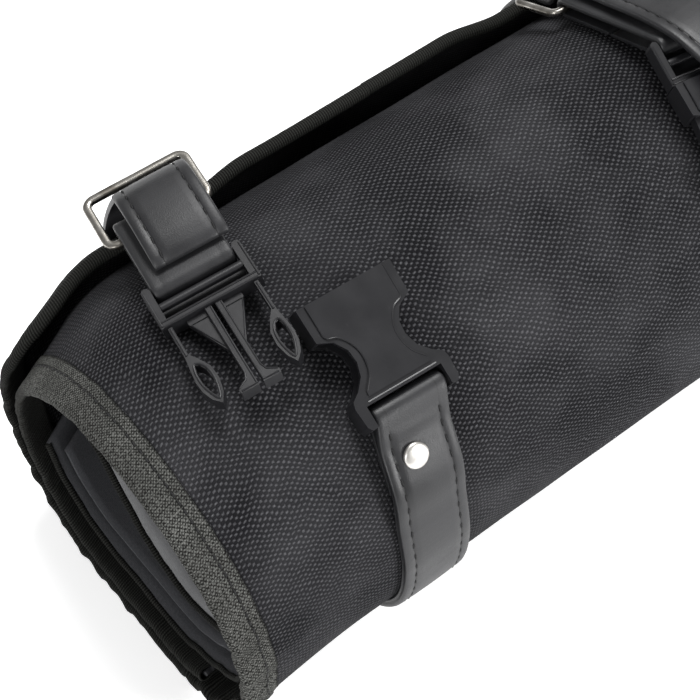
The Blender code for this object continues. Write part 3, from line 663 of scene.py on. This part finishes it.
def drape_rows(stations, arcs, hang, edge_wave, ripple):
    """Rows of a slack inner layer. It follows arcs round the section, then hangs through (y, z) points."""
    rows, uvs, columns = [], [], []
    for x in stations:
        taper = end_taper(x)
        scale = 1.0 + taper * (END_HALF_WIDTH / HALF_WIDTH - 1.0)
        points = [section_point(angle, height, x) for angle, height in arcs]
        points += [Vector((x, y * scale + taper * END_SHIFT_Y, z * (1.0 - 0.05 * taper)))
                   for y, z in hang]
        columns.append(smooth_path(points, steps=6))
    count = len(columns[0])
    for i in range(count):
        row, uv = [], []
        for j, x in enumerate(stations):
            p = columns[j][i].copy()
            wave = ripple * wander(x / 22.0, i / 5.0, 9.0)
            near_end = math.exp(-(x - stations[0]) / 14.0)
            wave += edge_wave * near_end * wander(i / 2.6, 0.5, 1.5)
            p += Vector((0.0, 0.25, 1.0)) * wave
            row.append(p)
            uv.append((x, i * 3.0))
        rows.append(row)
        uvs.append(uv)
    return rows, uvs


def edge_roll(name, points, radius, material):
    """A soft rolled edge along points, with UVs along it."""
    rows, uvs, length = [], [], 0.0
    for i, p in enumerate(points):
        q = points[min(i + 1, len(points) - 1)] - points[max(i - 1, 0)]
        tangent = q.normalized()
        side = ALONG_ROLL - tangent * tangent.x
        side.normalize()
        up = tangent.cross(side)
        if i:
            length += (points[i] - points[i - 1]).length
        size = radius * (1.0 + 0.12 * wander(length / 3.0, 2.0, 1.0))
        rows.append([p + size * (c * side + s * up) for c, s in circle(10)])
        uvs.append([(length, k * 0.7) for k in range(11)])
    return grid_object(name, rows, uvs, material, close_v=True, caps=True)


canvas = make_canvas()
put(canvas, "roll", "canvas", "outer_canvas")
tapes = []
for label, end, replaced in (("left", -1.0, ("left_rim_binding", "free_edge_binding")),
                             ("right", 1.0, ("right_rim_binding",))):
    tape, thread = make_tape(f"{label}_binding", end)
    put(tape, "roll", "binding", *replaced)
    put(thread, "roll", "binding")
    tapes += [tape, thread]

LEFT_IN = -HALF_LENGTH + 6.0
panel_x = [LEFT_IN + (HALF_LENGTH - 26.0 - LEFT_IN) * i / 70 for i in range(71)]
ARCS = [(angle, -14.2) for angle in (-12, -32, -52, -72, -92, -112, -132)]
ARCS += [(-150, -11.0), (-166, -8.0), (-180, -7.0)]
HANG = [(-60, 60), (-38, 53), (-24, 55), (-8, 62), (4, 75), (18, 89), (32, 93)]
panel_rows, panel_uvs = drape_rows(panel_x, ARCS, HANG, 1.6, 0.5)
panel = grid_object("pocket_layer", panel_rows, panel_uvs, LINING, 1.6)
put(panel, "roll", "lining", "pocket_panel")
hang_start = 6 * len(ARCS) - 4
# tone: painted shade on the lining inside the roll, painted light on its hanging part
set_point_values(panel, "tone", [min(1.0, max(0.0, (i - hang_start) / 6))
                                 for i in range(len(panel_rows)) for _ in panel_rows[0]])
panel_edge = edge_roll("pocket_layer_edge", [row[0] for row in panel_rows], 1.15, TAPE)
put(panel_edge, "roll", "binding")

flap_x = [LEFT_IN + 4.0 + (-64.0 - LEFT_IN - 4.0) * i / 30 for i in range(31)]
flap_arcs = [(angle, -18.6) for angle in (-20, -40, -60, -80, -100, -120, -136)] + [(-152, -17.0)]
flap_rows, flap_uvs = drape_rows(flap_x, flap_arcs, [], 0.8, 0.3)
flap = grid_object("tip_cover", flap_rows, flap_uvs, LINING, 1.2)
put(flap, "roll", "lining", "tip_flap")

# -------- leather

SEAM_INSET = 3.8
SEAM_POINTS = (7, 15)     # where leather_profile runs through the two sunk stitch lines


def leather_profile(width, thickness, crown, sunk, ply):
    """Points round a strap's section: (across, up).

    crown is how far the leather swells, sunk is the depth of its stitch lines, and ply is the thickness
    of a second layer under it, with a groove between their edges.
    """
    half, t = width / 2, thickness / 2
    line = half - SEAM_INSET
    groove = min(0.55, ply)
    left = [(-half + groove, -t), (-half, -0.6 * t), (-half, 0.35 * t), (-half + 0.25, 0.75 * t),
            (-half + 0.8, t), (-half + 1.9, t + 0.35 * crown), (-line - 0.6, t + 0.2 * crown),
            (-line - 0.25, t - 0.3 * sunk), (-line, t - sunk), (-line + 0.25, t - 0.3 * sunk),
            (-line + 0.6, t + 0.3 * crown), (-line + 3.0, t + 0.8 * crown)]
    side = [(half, -t - 0.02 - 0.35 * ply), (half - 0.15, -t - 0.03 - 0.7 * ply),
            (half - 0.8, -t - 0.04 - ply)]
    under = [(share * half, -t - 0.04 - ply) for share in (0.5, 0.0, -0.5)]
    right = [(-a, b) for a, b in reversed(left)]
    back = [(-a, b) for a, b in reversed(side)]
    return left[1:] + [(0.0, t + crown)] + right + side + under + back + left[:1]


def row_lengths(rows):
    """How far along a strap each of its rows lies."""
    lengths = [0.0]
    for (a0, b0), (a1, b1) in zip(rows, rows[1:]):
        lengths.append(lengths[-1] + ((a1 + b1) / 2 - (a0 + b0) / 2).length)
    return lengths


def strap_piece(name, rows, thickness, flip=False, spacing=1.3, sewn=True, plain=(), double=None, crown=0.3):
    """A leather strap along rows of two edge points. Its grain side is the side that flip chooses.

    plain lists stretches with no stitches and no crown, and double is where a second layer starts and
    how thick it is. Both count in rows.
    """
    at_row = row_lengths(rows)
    plain = [(at_row[a], at_row[b]) for a, b in plain]
    left = smooth_path([r[0] for r in rows], spacing)
    count = len(left)
    right = resample(smooth_path([r[1] for r in rows], spacing), count)
    left = resample(left, count)
    width = (rows[0][1] - rows[0][0]).length
    out, uvs, marks, length, since = [], [], [], 0.0, 9.0
    sign = -1.0 if flip else 1.0
    line = width / 2 - SEAM_INSET
    for i in range(count):
        centre = (left[i] + right[i]) / 2
        before = (left[max(i - 1, 0)] + right[max(i - 1, 0)]) / 2
        after = (left[min(i + 1, count - 1)] + right[min(i + 1, count - 1)]) / 2
        tangent = (after - before).normalized()
        side = (right[i] - left[i]).normalized()
        up = side.cross(tangent).normalized() * sign
        if i:
            step = (centre - before).length
            length += step
            since += step
        end = min(i, count - 1 - i)
        squeeze = 1.0 if end >= 2 else (0.55, 0.9)[end]
        bare = any(low < length < high for low, high in plain)
        ply = 0.0 if double is None else double[1] * min(1.0, max(0.0, (length - at_row[double[0]]) / 6.0))
        sunk = 0.3 if sewn and not bare else 0.0
        profile = leather_profile(width, thickness, 0.0 if bare else crown, sunk, ply)
        out.append([centre + side * a + up * b * squeeze for a, b in profile])
        uvs.append([(k, length) for k in range(len(profile) + 1)])
        if sewn and not bare and since > STITCH_PITCH and 3.0 < length and i < count - 3:
            since = 0.0
            for s in (-1, 1):
                stray = 0.16 * wander(length / 6.0, s, 3.0)
                slant = tangent + side * (0.10 + 0.15 * wander(length / 3.0, s, 8.0))
                at = centre + side * (s * line + stray) + up * (thickness / 2 - 0.06)
                marks.append(stitch(at, slant, up, STITCH_LENGTH, 0.40))
    obj = grid_object(name, out, uvs, LEATHER_BLACK, close_v=True, caps=True)
    # seam: where the material paints shade into the stitch grooves
    set_point_values(obj, "seam", [float(sewn and k in SEAM_POINTS)
                                   for _ in out for k in range(len(out[0]))])
    thread = join_meshes(f"{name}_stitches", marks, THREAD) if marks else None
    return obj, thread


def resample(points, count):
    """count points evenly spaced along a path."""
    points = [Vector(p) for p in points]
    along = [0.0]
    for a, b in zip(points, points[1:]):
        along.append(along[-1] + (b - a).length)
    out, k = [], 0
    for i in range(count):
        target = along[-1] * i / (count - 1)
        while k < len(points) - 2 and along[k + 1] < target:
            k += 1
        share = (target - along[k]) / max(1e-9, along[k + 1] - along[k])
        out.append(points[k].lerp(points[k + 1], share))
    return out


def ribbon_rows(centres, directions, width):
    """Pairs of edge points on both sides of a strap's centre line."""
    rows = []
    for centre, direction in zip(centres, directions):
        side = Vector(direction).normalized() * width / 2
        rows.append((Vector(centre) - side, Vector(centre) + side))
    return rows


def twisted_rows(centres, start_side):
    """Rows that keep the start's direction for half the strap, then turn to lie square to the roll."""
    held = len(centres) // 2
    rest = len(centres) - held
    directions = [start_side] * held
    directions += [start_side.lerp(ALONG_ROLL, (i + 1) / rest) for i in range(rest)]
    return ribbon_rows(centres, directions, STRAP_WIDTH)


def rear_rows(free_route, start_side, sewn_x):
    """Rows of a rear strap, down its free route and on to its sewn end."""
    lowest = section_point(HINGE_ANGLE + 0.3, REAR_HEIGHT, sewn_x)
    free = twisted_rows(smooth_path([*free_route, lowest], 4.0), start_side)
    sewn = [section_point(angle, REAR_HEIGHT, sewn_x) for angle in (8.0, 0.0, -8.0, -16.0, -24.0)]
    return free + ribbon_rows(sewn, [(1, 0, 0)] * len(sewn), STRAP_WIDTH)


def front_rows(bar, side, shift):
    """Rows of a front strap from its folded tail, round the socket's bar, to its sewn end."""
    radius = SOCKET_BAR_RADIUS + 0.45 + LEATHER / 2
    centre_z = HALF_HEIGHT - FLAT_DEPTH
    reach = math.hypot(bar.y / HALF_WIDTH, (bar.z - centre_z) / HALF_HEIGHT)
    rise = (reach - 1.0) * (HALF_HEIGHT + HALF_WIDTH) / 2
    start = math.degrees(math.atan2((bar.z - centre_z) / HALF_HEIGHT, bar.y / HALF_WIDTH))

    def on_roll(turn, height):
        share = min(1.0, turn / STRAP_SETTLED)
        drift = (side.y * STRAP_SETTLED * 1.25 - 20.0) * share * (1.0 - share) ** 2
        return section_point(start + turn, height,
                             bar.x + drift + shift * share * share * (3.0 - 2.0 * share))

    def across(turn):
        return side.lerp(ALONG_ROLL, min(1.0, turn / 40.0)).normalized()

    def row(turn, height):
        return ribbon_rows([on_roll(turn, height)], [across(turn)], STRAP_WIDTH)[0]

    def tail_height(turn):
        share = min(1.0, turn / TAIL_SETTLED)
        return (rise - radius) * (1.0 - share) + TAIL_HEIGHT * share

    def gap(turn):
        return LAYER_STEP + (2 * radius - LAYER_STEP) * max(0.0, 1.0 - turn / LAYERS_MEET)

    def middle(turn):
        return on_roll(turn, tail_height(turn) + gap(turn) / 2)

    back = middle(0.0) - middle(3.0)
    back = (back - back.dot(side) * side).normalized()
    up = side.cross(back)
    bend = [bar + radius * (math.cos(math.radians(a)) * back + math.sin(math.radians(a)) * up)
            for a in (-90, -45, 0, 45, 90)]
    rows = [row(turn, tail_height(turn)) for turn in (20.0, 14.0, 9.0, 5.0)]
    rows += ribbon_rows(bend, [side] * len(bend), STRAP_WIDTH)
    rows += [row(turn, tail_height(turn) + gap(turn)) for turn in (5.0, 9.0, 14.0, 20.0)]
    lying = STRAP_HEIGHT + LOWER_PLY - 0.4
    rows += [row(25.0, 4.8), row(31.0, 3.1)]
    rows += [row(turn, lying) for turn in (37.0, FRONT_HINGE_ANGLE - start)]
    rows += [row(FRONT_HINGE_ANGLE - start + 6.0 * i, lying) for i in range(1, 11)]
    rivet_at = middle(RIVET_TURN) - 2.4 * across(RIVET_TURN)
    ahead = middle(RIVET_TURN - 1.0) - middle(RIVET_TURN + 1.0)
    return rows, rivet_at, across(RIVET_TURN).cross(ahead).normalized()


def loop_rows(first, first_side, second, second_side, inner, width, thickness):
    """Rows of a tab: a flat loop round two bars, split halfway along its underside."""
    radius, split = inner + thickness / 2, 0.6

    def at(share, angle, shift=0.0):
        side = first_side.lerp(second_side, share).normalized()
        along = second - first
        along = (along - along.dot(side) * side).normalized()
        up = side.cross(along)
        turn = math.radians(angle)
        centre = first.lerp(second, share) + shift * along
        point = centre + radius * (math.cos(turn) * along + math.sin(turn) * up)
        return point - side * width / 2, point + side * width / 2

    rows = [at(0.5, -90, -split)]
    rows += [at(0.0, -90 - 22.5 * i) for i in range(9)]
    rows += [at(1.0, 90 - 22.5 * i) for i in range(9)]
    return rows + [at(0.5, -90, split)]


def blended(pieces):
    """Bakes each leather piece's placing into its mesh."""
    for piece in pieces:
        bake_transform(piece)


ML, MR = frame_matrix(*LEFT_PLUG), frame_matrix(*RIGHT_PLUG)
MS, MF = frame_matrix(*LEFT_SOCKET), frame_matrix(*RIGHT_FRAME)

# left rear strap, from its free end over the frame and down the roll's back
route = [(9.6, 4.95), (12.0, 6.7), (17.0, 8.3), (24.0, 9.1), (32.0, 8.9), (39.0, 7.6), (44.0, 4.8),
         (46.6, 0.8)]
free = [ML @ Vector((3.4, y, z)) for y, z in route]
free += [Vector(point) for point in ((-93.4, 62.3, 113.5), (-92.8, 67.5, 103.5), (-92.0, 73.0, 91.0))]
leather, thread = strap_piece("left_rear_strap", rear_rows(free, axis_of(ML, 0), LEFT_SEWN_X), LEATHER)
blended((leather, thread))
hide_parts("strap_L_rear", "strap_L_anchor")

# right rear strap, along the fastened plug and over its frame
route = [(-34.0, 130.4), (-24.0, 131.8), (-8.0, 132.2), (8.0, 128.6), (22.0, 123.6),
         (34.0, 119.3), (41.5, 116.0), (46.6, 111.6), (49.0, 106.2), (51.3, 101.8),
         (56.2, 99.6), (60.2, 98.7), (63.6, 97.0)]
free = [Vector((RIGHT_SEWN_X, y, z)) for y, z in route]
free += [section_point(angle, REAR_HEIGHT + rise, RIGHT_SEWN_X) for angle, rise in ((31.0, 0.4), (23.0, 0.1))]
leather, thread = strap_piece("right_rear_strap", rear_rows(free, ALONG_ROLL, RIGHT_SEWN_X), LEATHER)
blended((leather, thread))
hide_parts("strap_R_rear", "strap_R_anchor")

# tabs
for side, plug, frame_at, frame_side, body, node in (
        ("left", ML, ML @ Vector((0, LEFT_TAB_END, 0)), axis_of(ML, 0), "rear_strap_L", "tab_L"),
        ("right", MR, MF @ Vector((0, 0, 0)), axis_of(MF, 0), "plug_R", "tab_R")):
    rows = loop_rows(plug @ Vector((0, PLUG_BAR_Y, 0)), axis_of(plug, 0), frame_at, frame_side,
                     1.85, TAB_WIDTH, TAB_LEATHER)
    leather, thread = strap_piece(f"{side}_tab", rows, TAB_LEATHER, spacing=1.0, sewn=False, crown=0.1)
    put(leather, body, "leather", node)



def front_strap(name, rows):
    """A front strap, with no stitches on its tail or round the socket's bar, and doubled further on."""
    return strap_piece(name, rows, LEATHER, flip=True, plain=((0, 9),), double=(12, LOWER_PLY))


# front straps
bar = MS @ Vector((0.0, SOCKET_BAR_Y, 0.0))
rows, rivet_left, rivet_left_out = front_rows(bar, axis_of(MS, 0), -8.0)
leather, thread = front_strap("left_front_strap", rows)
blended((leather, thread))
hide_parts("strap_L_front", "strap_L_base")
bar = MR @ Vector((0.0, RIGHT_MOUTH + SOCKET_BAR_Y, 0.0))
rows, rivet_right, rivet_right_out = front_rows(bar, axis_of(MR, 0), 10.0)
leather, thread = front_strap("right_front_strap", rows)
put(leather, "roll", "leather", "strap_R_front", "strap_R_base")
put(thread, "roll", "leather")

# -------- hardware

PLUG_FRONT, PLUG_TOP, RAIL_TOP, SOCKET_TOP = -10.0, 3.0, 2.2, 5.0
FRAME_LENGTH, FRAME_HALF_WIDTH, FRAME_CORNER = 21.5, 18.2, 3.2
RIVET_TIP = math.radians(12.0)


def facing(normal):
    """A rotation that points the Z axis along normal."""
    return normal.to_track_quat("Z", "Y").to_matrix().to_4x4()


def make_rivet(name, centre, out):
    """A low round cap on a shank that goes through both layers of a front strap, slightly tipped."""
    top = LAYER_STEP / 2 + LEATHER / 2 + 0.45
    profile = [(0.0, 1.25), (1.2, 1.22), (2.4, 1.10), (3.4, 0.90), (4.0, 0.66), (4.35, 0.36), (4.5, 0.0),
               (4.5, -0.5), (4.3, -0.7), (3.0, -0.72), (2.0, -0.75), (2.0, -6.2), (3.2, -6.3),
               (3.0, -6.8), (0.0, -6.9)]
    bm = bmesh.new()
    points = [bm.verts.new((r, 0.0, top + z)) for r, z in profile]
    edges = [bm.edges.new(pair) for pair in zip(points, points[1:])]
    bmesh.ops.spin(bm, geom=points + edges, cent=(0, 0, 0), axis=(0, 0, 1), angle=2 * math.pi, steps=40)
    bmesh.ops.remove_doubles(bm, verts=bm.verts, dist=0.001)
    bmesh.ops.recalc_face_normals(bm, faces=bm.faces)
    tipped = Matrix.Translation(centre) @ Matrix.Rotation(RIVET_TIP, 4, "X") @ facing(out)
    return from_bmesh(name, bm, RIVET_NICKEL, tipped, 40)


put(make_rivet("left_rivet", rivet_left, rivet_left_out), "front_strap_L", "nickel", "rivet_L")
put(make_rivet("right_rivet", rivet_right, rivet_right_out), "roll", "nickel", "rivet_R")


def make_frame(name, matrix, near):
    """A flat-sided wire bent into a rectangle with round corners."""
    far, half, corner = near + FRAME_LENGTH, FRAME_HALF_WIDTH, FRAME_CORNER
    path = []
    for cx, cy, start in ((half - corner, far - corner, 0), (-half + corner, far - corner, 90),
                          (-half + corner, near + corner, 180), (half - corner, near + corner, 270)):
        for k in range(9):
            a = math.radians(start + 90 * k / 8)
            path.append(Vector((cx + corner * math.cos(a), cy + corner * math.sin(a), 0.0)))
    dense = []
    for a, b in zip(path, path[1:] + path[:1]):
        pieces = max(1, int((b - a).length / 2.0))
        dense += [a.lerp(b, k / pieces) for k in range(pieces)]
    section = [(1.45 * math.copysign(abs(c) ** 0.6, c), 1.2 * math.copysign(abs(s) ** 0.6, s))
               for c, s in circle(16)]
    n = len(dense)
    rows = []
    for i, p in enumerate(dense):
        tangent = (dense[(i + 1) % n] - dense[i - 1]).normalized()
        side = Vector((-tangent.y, tangent.x, 0.0))
        size = 1.0 + 0.03 * wander(i / 4.0, near, 0.0)
        rows.append([matrix @ (p + side * a * size + Vector((0, 0, b * size))) for a, b in section])
    rows.append(rows[0])
    uvs = [[(k, i) for k in range(17)] for i in range(len(rows))]
    obj = grid_object(name, rows, uvs, NICKEL, close_v=True)
    mend_normals(obj.data, merge=1e-6)
    return obj


put(make_frame("left_frame", ML, LEFT_FRAME_BAR), "frame_L", "nickel", "frame_L")
put(make_frame("right_frame", MF, 0.0), "frame_R", "nickel", "frame_R")


def mirrored(outline):
    return [(-x, y) for x, y in reversed(outline)]


def tube(points, radius, closed=False, flat=1.0, sides=8):
    """A thin round rib along points in a buckle's own frame."""
    points = [Vector(p) for p in points]
    n = len(points)
    verts, faces = [], []
    for i, p in enumerate(points):
        ahead = points[(i + 1) % n] if closed else points[min(i + 1, n - 1)]
        behind = points[i - 1] if closed or i else points[0]
        side = (ahead - behind).cross(UPWARD).normalized()
        verts += [p + radius * (c * side + flat * s * UPWARD) for c, s in circle(sides)]
    for i in range(n if closed else n - 1):
        j = (i + 1) % n
        for k in range(sides):
            q = (k + 1) % sides
            faces.append((i * sides + k, i * sides + q, j * sides + q, j * sides + k))
    if not closed:
        faces.append(tuple(range(sides)))
        faces.append(tuple(range(len(verts) - 1, len(verts) - sides - 1, -1)))
    return verts, faces


def slab(outline, low, high, chamfer):
    """A plate with a chamfered top edge, from z low to z high."""
    n = len(outline)
    points = [Vector((x, y, 0.0)) for x, y in outline]
    inset = []
    for i, p in enumerate(points):
        along = (points[(i + 1) % n] - points[i - 1]).normalized()
        inset.append(p + chamfer * Vector((-along.y, along.x, 0.0)))
    verts = [p + low * UPWARD for p in points]
    verts += [p + (high - chamfer) * UPWARD for p in points]
    verts += [p + high * UPWARD for p in inset]
    faces = [tuple(range(n - 1, -1, -1)), tuple(range(2 * n, 3 * n))]
    for ring in (0, n):
        faces += [(ring + i, ring + (i + 1) % n, ring + n + (i + 1) % n, ring + n + i) for i in range(n)]
    return verts, faces


def moulded(name, parts, matrix, body):
    """Ribs and raised faces of one buckle piece, joined as one object in the plastic."""
    placed = [([matrix @ Vector(v) for v in verts], faces) for verts, faces in parts]
    obj = join_meshes(name, placed, PLASTIC)
    mend_normals(obj.data)
    obj.data.set_sharp_from_angle(angle=CREASE)
    put(obj, body, "plastic")


def socket_details(name, matrix, body, mouth=0.0):
    """The raised face of a socket, a step inside its outline, and the ridge behind it."""
    waist = smooth_path([(13.6, -12.4, 0), (10.2, -13.8, 0), (7.2, -18.2, 0), (6.5, -23.0, 0),
                         (7.8, -28.0, 0), (11.2, -32.2, 0)], steps=4)
    right = [(14.5, -0.4), (14.3, -11.2)] + [(p.x, p.y) for p in waist] + [(11.8, -33.6)]
    outline = [(x, y + mouth) for x, y in mirrored(right) + right]
    parts = [slab(outline, SOCKET_TOP - 0.4, SOCKET_TOP + 0.5, 0.35)]
    parts.append(tube([(-12.8, -35.3 + mouth, SOCKET_TOP), (12.8, -35.3 + mouth, SOCKET_TOP)], 0.30))
    for side in (-1, 1):
        contour = [(side * x, y + mouth, SOCKET_TOP + 0.45) for x, y in right[:-1]]
        parts.append(tube(contour, 0.22))
    moulded(name, parts, matrix, body)


def plug_details(name, matrix, body):
    """A plug's rounded crossbar, its floor, and the ribs along its front wall, rails and gussets."""
    parts = [tube([(-14.4, -1.8, 2.35), (14.4, -1.8, 2.35)], 1.35, flat=0.62, sides=14)]
    parts.append(slab([(-14.5, -8.0), (14.5, -8.0), (14.5, 2.2), (-14.5, 2.2)], -2.7, -1.7, 0.2))
    for y, radius in ((-7.7, 0.35), (-9.6, 0.38)):
        parts.append(tube([(-16.6, y, PLUG_TOP), (16.6, y, PLUG_TOP)], radius))
    for side in (-1, 1):
        parts.append(tube([(side * 17.1, y, PLUG_TOP) for y in (-9.3, 5.6)], 0.40))
        rail = [(side * 0.95, PLUG_FRONT - 0.6), (side * 1.15, -43.8), (side * 6.4, -43.9)]
        wall = [(side * 2.7, PLUG_FRONT - 0.6), (side * 2.7, -38.4), (side * 3.5, -40.8), (side * 6.6, -42.7)]
        gusset = [(side * 3.0, -12.6), (side * 9.0, -12.6), (side * 2.9, -26.6)]
        parts.append(tube([(x, y, RAIL_TOP) for x, y in rail], 0.36))
        parts.append(tube([(x, y, RAIL_TOP) for x, y in wall], 0.30))
        parts.append(tube([(x, y, 0.95) for x, y in gusset], 0.30, closed=True))
    moulded(name, parts, matrix, body)


def arm_details(name, matrix, body, side):
    """The raised rims round the eye and the outer edge of an arm's leaf-shaped head."""
    eye = [(14.9, -27.2), (15.7, -31.0), (15.6, -35.2), (14.5, -39.3), (13.0, -42.2), (11.8, -38.8),
           (11.25, -34.5), (11.65, -30.3), (13.1, -27.6)]
    spring = [(15.2, -11.0), (15.2, -22.8)]
    eye, spring = ([(side * x, y, 2.3) for x, y in line] for line in (eye, spring))
    moulded(name, [tube(smooth_ring(eye), 0.42, closed=True), tube(spring, 0.42)], matrix, body)


def smooth_ring(points):
    """A closed outline rounded off through its points."""
    path = smooth_path([points[-1], *points, points[0], points[1]], steps=3)
    return path[3:-4]


socket_details("left_socket_face", MS, "socket_L")
socket_details("right_socket_face", MR, "roll", RIGHT_MOUTH)
for label, matrix, suffix in (("left", ML, "L"), ("right", MR, "R")):
    plug_details(f"{label}_plug_ribs", matrix, f"plug_{suffix}")
    for hand, side in (("left", -1), ("right", 1)):
        arm_details(f"{label}_plug_{hand}_arm_rim", matrix, f"arm_{suffix}_{hand}", side)

for name in ("plug_L", "plug_R", "socket_L", "socket_R", "plug_L_arm_left", "plug_L_arm_right",
             "plug_R_arm_left", "plug_R_arm_right"):
    node = NODES[name]
    for material_slot in node.material_slots:
        material_slot.material = PLASTIC
    bevel = node.modifiers.new("moulded_edges", "BEVEL")
    bevel.width = (0.8 if name.startswith("socket") else 0.45) * MM
    bevel.segments = 3
    bevel.limit_method = "ANGLE"
    bevel.angle_limit = CREASE
    bevel.harden_normals = True

# -------- stage, light and camera

LIT_POINT = Vector((0.0, 0.0, 0.05))        # the stage, the lights and the camera are in metres


def make_stage():
    """A pale floor that glows a little, just under the roll."""
    mesh = bpy.data.meshes.new("floor")
    size = 6.0
    mesh.from_pydata([(-size, -size, 0), (size, -size, 0), (size, size, 0), (-size, size, 0)], [],
                     [(0, 1, 2, 3)])
    n = Nodes("pale_floor", roughness=0.9, specular=0.1)
    shade = n.noise(n.point(), 0.6, 2.0)
    n.fill(n.shader, {"Emission Color": (1.0, 1.0, 1.0), "Emission Strength": 0.50})
    floor = new_object("floor", mesh, n.finish(n.mix(shade, (0.92, 0.92, 0.92), (0.94, 0.94, 0.94))))
    floor.location.z = -0.0002


def make_light(name, place, size, power):
    data = bpy.data.lights.new(name, "AREA")
    data.shape = "DISK"
    data.size = size
    data.energy = power
    light = bpy.data.objects.new(name, data)
    bpy.context.scene.collection.objects.link(light)
    light.location = place
    aim = LIT_POINT - Vector(place)
    light.rotation_euler = aim.to_track_quat("-Z", "Y").to_euler()


make_stage()
world = bpy.data.worlds.new("studio")
world.use_nodes = True
world.node_tree.nodes["Background"].inputs["Color"].default_value = (1.0, 1.0, 1.0, 1.0)
world.node_tree.nodes["Background"].inputs["Strength"].default_value = 0.42
bpy.context.scene.world = world
make_light("top_light", (0.45, 0.55, 1.65), 0.9, 31.0)
make_light("key_light", (0.75, -1.45, 0.72), 0.6, 23.0)
make_light("left_light", (-1.5, -0.7, 0.85), 0.45, 11.0)

scene = bpy.context.scene
scene.view_settings.view_transform = "Standard"
scene.view_settings.look = "None"

AZIMUTH, ELEVATION, DISTANCE = math.radians(-38.9), math.radians(53.5), 0.722
TARGET = Vector((-0.0371, 0.0, 0.0547))
camera_data = bpy.data.cameras.new("camera")
camera_data.lens = 107.0
camera_data.sensor_width = 36.0
camera_data.shift_x = -0.0686
camera_data.shift_y = -0.0357
camera = bpy.data.objects.new("camera", camera_data)
scene.collection.objects.link(camera)
back = Vector((math.sin(AZIMUTH) * math.cos(ELEVATION), -math.cos(AZIMUTH) * math.cos(ELEVATION),
               math.sin(ELEVATION)))
camera.location = TARGET + back * DISTANCE
camera.rotation_euler = (-back).to_track_quat("-Z", "Y").to_euler()
scene.camera = camera
